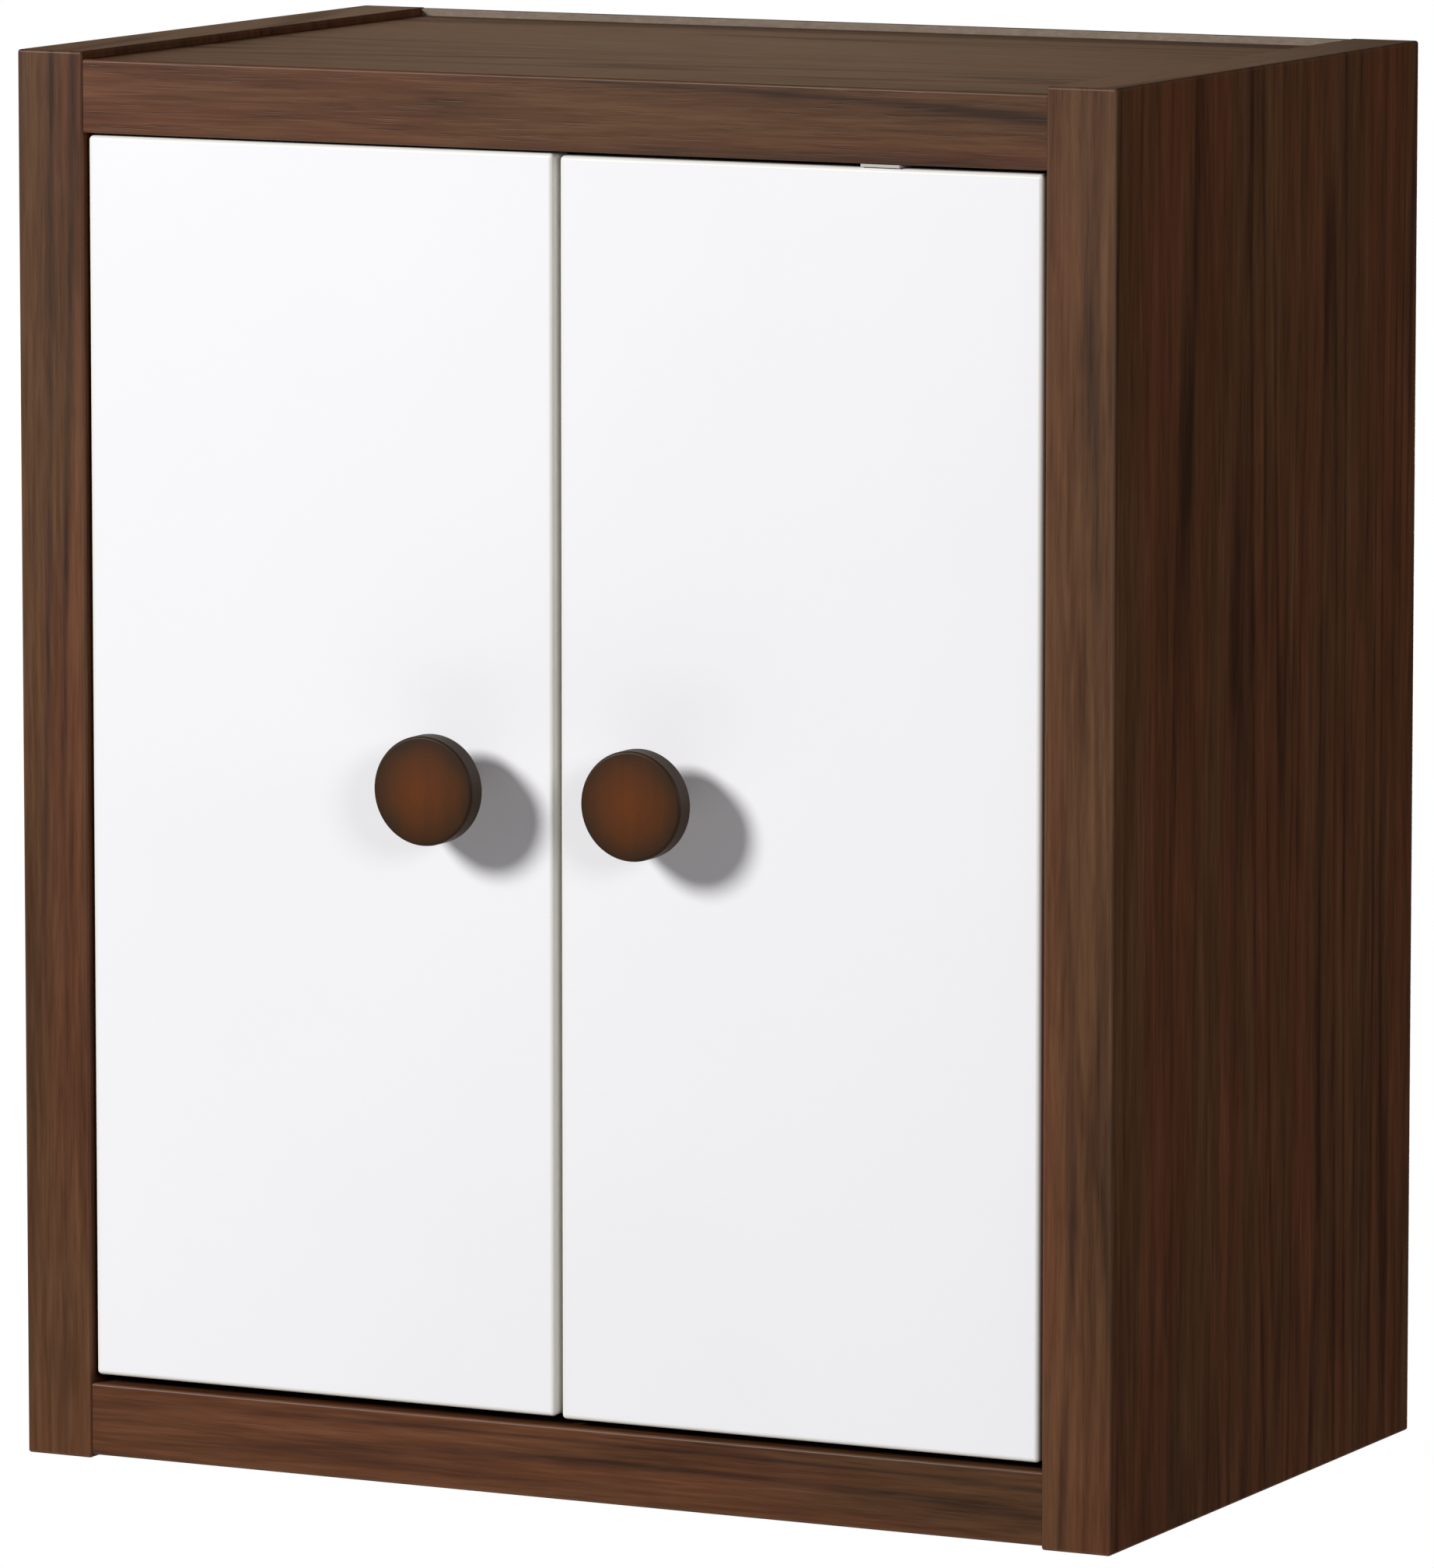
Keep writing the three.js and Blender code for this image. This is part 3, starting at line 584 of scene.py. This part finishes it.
def wallHole():
    sink, bore = wallScrews["sink"], wallScrews["bore"]
    outline = [(-mm, 0), (-mm, sink), (0, sink), (wallScrews["sinkDepth"], bore)]
    outline += [(wallScrews["reach"], bore), (wallScrews["reach"], 0)]
    return turnedMesh(outline, 32)


def shelfAndRail():
    low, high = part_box("shelf")
    slab = blockMesh(low, high, boards["innerEdge"], boards["innerSegments"])
    dressBoard(slab, low, high, {"Z": 0, "Y-": 0, "Y+": 2, "X": 0}, 1, 2, boards["innerSkin"])
    makePiece("shelfBoard", slab, wideFinishes, "carcass", ["shelf"])
    low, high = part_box("hanging_rail")
    slab = blockMesh(low, high, boards["innerEdge"], boards["innerSegments"])
    z = high.z - wallScrews["belowRailTop"]
    holes = [placed(wallHole(), (0, 1, 0), (x, low.y, z)) for x in wallScrews["x"]]
    slab = bored(slab, holes)
    dressBoard(slab, low, high, {"Z": 0, "Y": 0, "X": 0}, 1, 2, boards["innerSkin"])
    makePiece("hangingRail", slab, wideFinishes, "carcass", ["hanging_rail"])


# the back board stands a hair in from the wall plane, so that its nail heads sit flush with that
backBoard = {
    "inset": 0.4 * mm, "edge": 0.35 * mm, "bore": 3.2 * mm,
    "nailRadius": 2.6 * mm, "nailInset": 10 * mm, "nailPitch": 95 * mm,
    "railNails": (1, 3, 4), "railNailRise": 20 * mm,  # which columns, and how far over the screws
}


def nailMesh():
    radius = backBoard["nailRadius"]
    outline = [(-0.5 * mm, 0), (-0.5 * mm, radius), (0.1 * mm, radius)]
    outline += [(0.3 * mm, radius * 0.7), (0.38 * mm, 0)]
    return turnedMesh(outline, 14)


def backWithNails():
    low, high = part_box("back_board")
    rear = Vector((high.x, high.y - backBoard["inset"], high.z))
    slab = blockMesh(low, rear, backBoard["edge"], 2)
    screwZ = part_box("hanging_rail")[1].z - wallScrews["belowRailTop"]
    holes = []
    for x in wallScrews["x"]:
        hole = barMesh(backBoard["bore"], -2 * mm, 8 * mm, 28)
        holes.append(placed(hole, (0, 1, 0), (x, low.y, screwZ)))
    slab = bored(slab, holes)
    makePiece("backPanel", slab, [fibreBoard], "carcass", ["back_board"])
    half = high.x - backBoard["nailInset"]
    count = round(2 * half / backBoard["nailPitch"])
    across = [-half + 2 * half * i / count for i in range(count + 1)]
    levels = [sum(v.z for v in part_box(f"{board}_board")) / 2 for board in ("top", "bottom")]
    spots = [(x, level) for level in levels for x in across]
    spots += [(across[i], screwZ + backBoard["railNailRise"]) for i in backBoard["railNails"]]
    nails = [placed(nailMesh(), (0, 1, 0), (x, rear.y, level)) for x, level in spots]
    makePiece("backNails", joined(nails), [zincPlate], "carcass")


sidePanels()
crossBoards()
shelfAndRail()
backWithNails()
print("carcass made")


# doors, rounded all round and bored for the hinge cups
doorShape = {
    "edge": 2.0 * mm, "segments": 5, "skin": 2.2 * mm,
    "cupBore": 17.35 * mm, "cupDepth": 12 * mm, "pinFromCup": 4.5 * mm,
}


def doorPanels():
    for side in sideNames:
        low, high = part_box(f"door_{side}")
        slab = blockMesh(low, high, doorShape["edge"], doorShape["segments"])
        bores = []
        for level in levelNames:
            spot = cupSpot(side, level)
            bore = barMesh(doorShape["cupBore"], -doorShape["cupDepth"], mm, 64)
            bores.append(placed(bore, (0, 1, 0), (spot.x, high.y, spot.z)))
        slab = bored(slab, bores)
        dressBoard(slab, low, high, {"Y": 0, "X": 1, "Z": 1}, 1, 2, doorShape["skin"])
        makePiece(
            f"doorPanel_{side}", slab, [whiteFace, whiteBand, chipBoard],
            f"{side}_door", [f"door_{side}"],
        )


# the middle of a hinge cup's bore, on the plane of the hinge pin
def cupSpot(side, level):
    pinLow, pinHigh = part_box(f"hinge_pin_{side}_{level}")
    pin = (pinLow + pinHigh) / 2
    return Vector((pin.x - sideNames[side] * doorShape["pinFromCup"], pin.y, pin.z))


doorPanels()

# knobs: a thick disc with a soft rim and a barely crowned face, on a waisted neck; in mm, with the
# foot and neck as pairs of height and radius
knobShape = {
    "disc": 10.5, "rim": 1.3, "crown": 0.35,
    "foot": [(0.15, 0), (0.15, 10.0), (1.0, 10.3), (2.2, 10.0)],
    "neck": [(5, 8.9), (8, 8.1), (11, 8.2), (14, 9.4), (16.2, 12)],
    "shoulder": 14.5, "steps": 96, "arc": 8, "sharpOver": 50,
}


def knobOutline(radius, reach):
    rim = knobShape["rim"]
    flat = radius - rim
    discBack = reach - knobShape["disc"]
    outline = [*knobShape["foot"], *knobShape["neck"], (discBack, knobShape["shoulder"])]
    for centre, start in ((discBack + rim, 180), (reach - knobShape["crown"] - rim, 90)):
        for i in range(knobShape["arc"] + 1):
            angle = math.radians(start - 90 * i / knobShape["arc"])
            outline.append((centre + rim * math.cos(angle), flat + rim * math.sin(angle)))
    for share in (0.75, 0.45, 0.2, 0):
        outline.append((reach - knobShape["crown"] * share * share, flat * share))
    return inMetres(outline)


def knobs():
    for side in sideNames:
        low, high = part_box(f"knob_{side}")
        centre = (low + high) / 2
        radius = (high.x - low.x) / 2 / mm
        reach = (high.y - low.y) / mm
        turned = turnedMesh(knobOutline(radius, reach), knobShape["steps"])
        placed(turned, (0, -1, 0), (centre.x, high.y, centre.z))
        makePiece(
            f"turnedKnob_{side}", turned, [knobFinish(f"knob_stain_and_shade_{side}", centre, low.y)],
            f"{side}_door", [f"knob_{side}"], knobShape["sharpOver"],
        )


knobs()
print("doors and knobs made")


# screws: a domed head with a cross recess, standing along +Z from the surface that it holds down;
# the dome is in shares of the head's height and radius, the depths are in mm
screwShape = {
    "shank": 0.55, "shankDepth": 1.0, "steps": 28,
    "dome": [(0, 1), (0.35, 1), (0.75, 0.78), (0.95, 0.45), (1, 0)],
    # darkBelow: faces inside the cross lower than this many mm under the top get the painted shade
    "crossReach": 0.55, "crossHalf": 0.11, "crossDepth": 1.1, "darkBelow": 0.9,
}


# cuts a cross, one slot after the other, from the floor up past the top
def cutCross(bm, half, thin, floor, top):
    for x, y in ((half, thin), (thin, half)):
        bm = bored(bm, [blockMesh((-x, -y, floor), (x, y, top))])
    return bm


def darkenCross(bm, half, below):  # painted shade: the second finish, a near-black metal, goes on the faces inside the cross
    for face in bm.faces:
        spot = face.calc_center_median()
        sunk = abs(spot.x) < half and abs(spot.y) < half and 0 < spot.z < below
        face.material_index = 1 if sunk else 0


def screwMesh(radius, height):
    shank = radius * screwShape["shank"]
    outline = [(-screwShape["shankDepth"], 0), (-screwShape["shankDepth"], shank), (0, shank)]
    outline += [(height * along, radius * across) for along, across in screwShape["dome"]]
    head = turnedMesh(inMetres(outline), screwShape["steps"])
    half = radius * screwShape["crossReach"] * mm
    thin = radius * screwShape["crossHalf"] * mm
    head = cutCross(head, half, thin, (height - screwShape["crossDepth"]) * mm, (height + 1) * mm)
    darkenCross(head, half, (height - screwShape["darkBelow"]) * mm)
    return head


def screwsAt(name, spots, direction, radius, height, body, slotName="zinc"):
    finish = nickelPlate if slotName == "nickel" else zincPlate
    heads = [placed(screwMesh(radius, height), direction, spot) for spot in spots]
    makePiece(name, joined(heads), [finish, recessShade], body)


# hinges: a pressed cup with its flange and ears, lugs, and softened copies of the arm and plate
# with a turned pin; in mm, measured from the pin or from the middle of the cup
hingeShape = {
    "cup": 17.2, "hollow": 16.3, "flange": 19.0, "flangeThick": 1.2, "mouthPlay": 0.3,
    "ears": 60.0, "earWidth": 18.0, "earFromCup": 9.5, "earRound": 7.5, "earEdge": 0.3,
    "lugHalf": 2.5, "lugFromPin": 12, "lugThick": 3, "lugInCup": 0.9, "lugEdge": 0.5,
    "pin": 1.25, "pinEnd": 0.95, "pinChamfer": 0.3, "softEdge": 0.35,
}

# their screws: head radius and height, and where they sit
hingeScrews = {
    "ear": (3.6, 1.5), "earSpread": 24, "earSunk": 0.2,
    "wing": (3.7, 1.8), "wingSpread": 16, "wingBack": 47, "wingProud": 2.1,
    "arm": (3.9, 1.4), "armBack": (36, 56), "armProud": 9.2, "panelFromPin": 20,
}


def cupShell(depth):
    cup, flange, hollow = (hingeShape[part] for part in ("cup", "flange", "hollow"))
    back = depth - hingeShape["flangeThick"]
    return inMetres([
        (0, 0), (0, cup - 1.2), (0.35, cup - 0.35), (1.2, cup),
        (back, cup), (back, flange - 0.2), (back + 0.5, flange),
        (depth - 0.3, flange - 0.1), (depth, flange - 0.5),
        (depth, hollow + 0.5), (depth - 0.5, hollow),
        (2.2, hollow), (1.35, hollow - 0.4), (1.0, hollow - 1.2), (1.0, 0),
    ])


def cupEars(spot, earX, outer):
    half = Vector((hingeShape["earWidth"] / 2 * mm, 0, hingeShape["ears"] / 2 * mm))
    earLow = Vector((earX, outer - hingeShape["flangeThick"] * mm, spot.z)) - half
    ears = blockMesh(earLow, Vector((earX, outer, spot.z)) + half)
    roundEdges(ears, edgesAlong(ears, 1, 0.5 * mm), hingeShape["earRound"] * mm, 8)
    roundEdges(ears, sharpEdges(ears), hingeShape["earEdge"] * mm, 2)
    mouth = barMesh((hingeShape["hollow"] + hingeShape["mouthPlay"]) * mm, -2 * mm, 4 * mm, 64)
    return bored(ears, [placed(mouth, (0, 1, 0), (spot.x, earLow.y, spot.z))])


def hingeCup(side, level):
    sign = sideNames[side]
    low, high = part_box(f"hinge_cup_{side}_{level}")
    spot = cupSpot(side, level)
    cup = turnedMesh(cupShell((high.y - low.y) / mm), 64)
    placed(cup, (0, 1, 0), (spot.x, low.y, spot.z))
    earX = spot.x - sign * hingeShape["earFromCup"] * mm
    ears = cupEars(spot, earX, high.y)
    pin = Vector((spot.x + sign * doorShape["pinFromCup"], spot.y, spot.z))
    lugHalf = hingeShape["lugHalf"] * mm
    lugBack = low.y - pin.y + hingeShape["lugInCup"] * mm
    thick = hingeShape["lugThick"] / 2 * mm
    lugs = []
    for end in (-1, 1):
        away = end * hingeShape["lugFromPin"] * mm
        near = pin + Vector((-lugHalf, lugBack, away - thick))
        far = pin + Vector((lugHalf, lugHalf, away + thick))
        lugs.append(blockMesh(near, far, hingeShape["lugEdge"] * mm))
    makePiece(
        f"hingeCup_{side}_{level}", joined([cup, ears, *lugs]), [nickelPlate],
        f"{side}_door", [f"hinge_cup_{side}_{level}"],
    )
    screwY = high.y - hingeScrews["earSunk"] * mm
    spread = hingeScrews["earSpread"] * mm
    spots = [Vector((earX, screwY, spot.z + end * spread)) for end in (-1, 1)]
    screwsAt(
        f"cupScrews_{side}_{level}", spots, (0, 1, 0), *hingeScrews["ear"],
        f"{side}_door", "nickel",
    )


def hingeOnPanel(side, level):
    sign = sideNames[side]
    for part in ("arm", "plate"):
        node = f"hinge_{part}_{side}_{level}"
        copy = softened(node, hingeShape["softEdge"] * mm)
        makePiece(
            f"hinge{part.title()}_{side}_{level}", copy, [nickelPlate],
            "carcass", [node],
        )
    node = f"hinge_pin_{side}_{level}"
    low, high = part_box(node)
    pin = (low + high) / 2
    length = (high.z - low.z) / mm
    radius, end, chamfer = (hingeShape[part] for part in ("pin", "pinEnd", "pinChamfer"))
    rod = [(0, 0), (0, end), (chamfer, radius), (length - chamfer, radius), (length, end), (length, 0)]
    body = turnedMesh(inMetres(rod), 24)
    placed(body, (0, 0, 1), (pin.x, pin.y, low.z))
    makePiece(
        f"hingePin_{side}_{level}", body, [zincPlate], f"{side}_door", [node],
    )
    panelX = pin.x + sign * hingeScrews["panelFromPin"] * mm
    wingX = panelX - sign * hingeScrews["wingProud"] * mm
    wingY = pin.y + hingeScrews["wingBack"] * mm
    spread = hingeScrews["wingSpread"] * mm
    wings = [Vector((wingX, wingY, pin.z + end * spread)) for end in (-1, 1)]
    screwsAt(
        f"plateScrews_{side}_{level}", wings, (-sign, 0, 0), *hingeScrews["wing"],
        "carcass", "nickel",
    )
    armX = panelX - sign * hingeScrews["armProud"] * mm
    setting = [Vector((armX, pin.y + y * mm, pin.z)) for y in hingeScrews["armBack"]]
    screwsAt(
        f"armScrews_{side}_{level}", setting, (-sign, 0, 0), *hingeScrews["arm"],
        "carcass", "nickel",
    )


for side in sideNames:
    for level in levelNames:
        hingeCup(side, level)
        hingeOnPanel(side, level)
print("hinges made")


# cam locks, seen on the undersides of both boards, each with a cross recess; in mm
camLock = {
    "radius": 7.3, "topRadius": 7.0, "topEdge": 0.3, "steps": 40,
    # darkBelow: faces inside the cross lower than this many mm under the top get the painted shade
    "crossReach": 4.2, "crossHalf": 0.75, "crossDepth": 2, "darkBelow": 0.2,
}


def camLocks():
    for board in ("top", "bottom"):
        for side in sideNames:
            for place in places:
                node = f"cam_lock_{board}_{side}_{place}"
                low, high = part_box(node)
                centre = (low + high) / 2
                deep = (high.z - low.z) / mm
                radius = camLock["radius"]
                outline = [(0, 0), (0, radius), (deep - camLock["topEdge"], radius)]
                outline += [(deep, camLock["topRadius"]), (deep, 0)]
                lock = turnedMesh(inMetres(outline), camLock["steps"])
                half = camLock["crossReach"] * mm
                thin = camLock["crossHalf"] * mm
                floor = (deep - camLock["crossDepth"]) * mm
                lock = cutCross(lock, half, thin, floor, (deep + 1) * mm)
                darkenCross(lock, half, (deep - camLock["darkBelow"]) * mm)
                placed(lock, (0, 0, -1), (centre.x, centre.y, high.z))
                makePiece(
                    f"camLock_{board}_{side}_{place}", lock, [zincPlate, recessShade],
                    "carcass", [node],
                )


# shelf pegs: a peg in the side panel, a collar against it and a flat tongue under the shelf; in mm
shelfPeg = {
    "toPanel": 8, "peg": 2.4, "pegLength": 9,
    "collar": 4.4, "collarThick": 1.4, "collarDrop": 2, "collarEdge": 0.3,
    "tongueHalf": 4.5, "tongueThick": 2, "tongueGap": 0.3, "tongueEdge": 0.4,
}


def shelfPegs():
    for side, sign in sideNames.items():
        for place in places:
            node = f"shelf_pin_{side}_{place}"
            low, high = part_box(node)
            y = (low.y + high.y) / 2
            z = high.z - boards["pegBelowTop"]
            face = (low.x if sign > 0 else high.x) + sign * shelfPeg["toPanel"] * mm
            collar = barMesh(shelfPeg["collar"] * mm, 0, shelfPeg["collarThick"] * mm, 36)
            placed(collar, (-sign, 0, 0), (face, y, z - shelfPeg["collarDrop"] * mm))
            roundEdges(collar, sharpEdges(collar), shelfPeg["collarEdge"] * mm, 2)
            peg = barMesh(shelfPeg["peg"] * mm, 0, shelfPeg["pegLength"] * mm, 24)
            placed(peg, (sign, 0, 0), (face, y, z))
            tip = face - sign * shelfPeg["toPanel"] * mm
            left, right = sorted((tip, face - sign * shelfPeg["tongueGap"] * mm))
            half = shelfPeg["tongueHalf"] * mm
            bottom = high.z - shelfPeg["tongueThick"] * mm
            tongue = blockMesh(
                (left, y - half, bottom), (right, y + half, high.z), shelfPeg["tongueEdge"] * mm, 2,
            )
            makePiece(
                f"shelfPeg_{side}_{place}", joined([collar, peg, tongue]), [nickelPlate],
                "carcass", [node],
            )


# catches and strikes at the top of the doors, and the stop above the right door; in mm, with each
# screw's head radius and height
fittings = {
    "catchEdge": 0.3, "magnetFront": 0.58, "catchScrew": (3.0, 1.3), "catchSpread": 18.5,
    "catchScrewBack": 0.3, "catchScrewLow": 0.1,
    "strikeEdge": 0.25, "strikeScrew": (3.0, 1.1), "strikeScrewIn": 0.9,
    "stopEdge": 0.35, "stopScrew": (3.0, 1.3), "stopScrewIn": 9, "stopScrewLow": 1.2,
}


def magnetCatch(side):
    node = f"magnet_catch_{side}"
    low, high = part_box(node)
    body = softened(node, fittings["catchEdge"] * mm)
    magnetY = low.y + fittings["magnetFront"] * mm
    for face in body.faces:
        face.material_index = 1 if face.calc_center_median().y < magnetY else 0
    makePiece(
        f"magnetCatch_{side}", body, [whitePlastic, zincPlate],
        "carcass", [node],
    )
    middle = (low + high) / 2
    y = middle.y + fittings["catchScrewBack"] * mm
    z = low.z - fittings["catchScrewLow"] * mm
    spread = fittings["catchSpread"] * mm
    spots = [Vector((middle.x + end * spread, y, z)) for end in (-1, 1)]
    screwsAt(f"catchScrews_{side}", spots, (0, 0, -1), *fittings["catchScrew"], "carcass")


def strikePlate(side):
    node = f"strike_plate_{side}"
    low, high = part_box(node)
    plate = softened(node, fittings["strikeEdge"] * mm)
    makePiece(f"strikePlate_{side}", plate, [zincPlate], f"{side}_door", [node])
    middle = (low + high) / 2
    spot = Vector((middle.x, high.y - fittings["strikeScrewIn"] * mm, middle.z))
    screwsAt(
        f"strikeScrew_{side}", [spot], (0, 1, 0), *fittings["strikeScrew"], f"{side}_door",
    )


def doorFittings():
    for side in sideNames:
        magnetCatch(side)
        strikePlate(side)
    low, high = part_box("door_stop")
    stop = softened("door_stop", fittings["stopEdge"] * mm)
    makePiece("doorStop", stop, [greyPlastic], "carcass", ["door_stop"])
    y = high.y - fittings["stopScrewIn"] * mm
    spot = Vector(((low.x + high.x) / 2, y, high.z - fittings["stopScrewLow"] * mm))
    screwsAt("stopScrew", [spot], (0, 0, -1), *fittings["stopScrew"], "carcass")


camLocks()
shelfPegs()
doorFittings()
print("fittings made")

# CAD nodes that stay, each in its own finish
kept = {"cam_bolt": zincPlate, "dowel": beechDowel, "knob_screw": zincPlate}
for name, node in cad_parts.items():
    for start, finish in kept.items():
        if name.startswith(start):
            for materialSlot in node.material_slots:
                materialSlot.material = finish


# floor, light and camera
studio = {
    "floorDrop": 1.5, "floorSize": 5.0, "ambient": 0.032,
    "floorTones": ((0.80, 0.80, 0.79), (0.83, 0.83, 0.82)),
}

# turn is round from the front to the left and rise is up, in degrees; distance, size, power and
# colour follow
softboxes = {
    "key": (34.0, 23.5, 5.0, 1.2, 241.0, (1, 1, 1)),
    "fill": (-46.0, 15.0, 3.4, 0.9, 21.5, (1, 0.95, 0.98)),
    "side": (-84.0, 8.0, 3.2, 1.0, 17.4, (1, 0.98, 0.97)),
    "sheen": (153.0, 12.0, 3.0, 1.0, 2.4, (1, 0.72, 0.48)),
    "rear": (169.0, -7.0, 4.0, 1.4, 66.0, (1, 1, 1)),
}


def studioFloor():
    bm = bmesh.new()
    bmesh.ops.create_grid(bm, x_segments=1, y_segments=1, size=studio["floorSize"] / 2)
    bmesh.ops.translate(bm, vec=(0, 0, cadLow.z - studio["floorDrop"]), verts=bm.verts)
    mesh = bpy.data.meshes.new("floor")
    bm.to_mesh(mesh)
    bm.free()
    floor = bpy.data.objects.new("floor", mesh)
    bpy.context.collection.objects.link(floor)
    shader = Shader("pale_floor")
    mottle = shader.noise(shader.place, scale=3.0, detail=3.0)
    color = shader.mixed(mottle, *studio["floorTones"])
    mesh.materials.append(shader.finish(Base_Color=color, Roughness=0.7))


def softbox(name, turn, rise, distance, size, power, color, target):
    turn = math.radians(turn)
    rise = math.radians(rise)
    flat = math.cos(rise)
    away = Vector((-math.sin(turn) * flat, -math.cos(turn) * flat, math.sin(rise)))
    light = bpy.data.lights.new(name, "AREA")
    light.shape = "DISK"
    light.size = size
    light.energy = power
    light.color = color
    lamp = bpy.data.objects.new(name, light)
    lamp.location = target + away * distance
    lamp.rotation_euler = away.to_track_quat("Z", "Y").to_euler()
    lamp.visible_camera = False
    bpy.context.collection.objects.link(lamp)


# the backdrop is white to the camera, and lights the object with less
def studioWorld():
    world = bpy.data.worlds.new("studio")
    world.use_nodes = True
    bpy.context.scene.world = world
    tree = world.node_tree
    ray = tree.nodes.new("ShaderNodeLightPath")
    pick = tree.nodes.new("ShaderNodeMapRange")
    pick.inputs["To Min"].default_value = studio["ambient"]
    pick.inputs["To Max"].default_value = 1.0
    tree.links.new(ray.outputs["Is Camera Ray"], pick.inputs["Value"])
    tree.nodes["Background"].inputs["Color"].default_value = (1, 1, 1, 1)
    tree.links.new(pick.outputs["Result"], tree.nodes["Background"].inputs["Strength"])


# turn is round from the front to the right and rise is up, in degrees
viewPoint = {
    "turn": 26.44, "rise": 7.63, "distance": 4.9824, "lens": 268.39,
    "aside": -1.98 * mm, "above": -15.19 * mm, "farthest": 60,
}


def studioCamera(target):
    turn = math.radians(viewPoint["turn"])
    rise = math.radians(viewPoint["rise"])
    flat = math.cos(rise)
    back = Vector((math.sin(turn) * flat, -math.cos(turn) * flat, math.sin(rise)))
    right = Vector((math.cos(turn), math.sin(turn), 0))
    up = back.cross(right)
    data = bpy.data.cameras.new("camera")
    data.lens = viewPoint["lens"]
    data.clip_end = viewPoint["farthest"]
    camera = bpy.data.objects.new("camera", data)
    shift = right * viewPoint["aside"] + up * viewPoint["above"]
    camera.location = target + back * viewPoint["distance"] + shift
    camera.rotation_euler = Matrix((right, up, back)).transposed().to_euler()
    bpy.context.collection.objects.link(camera)
    bpy.context.scene.camera = camera


panelLow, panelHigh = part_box("side_panel_left")
middle = Vector((0, (panelLow.y + panelHigh.y) / 2, (panelLow.z + panelHigh.z) / 2))
studioFloor()
studioWorld()
for lamp, values in softboxes.items():
    softbox(lamp, *values, middle)
studioCamera(middle)
bpy.context.scene.view_settings.view_transform = "Standard"
print("studio made")
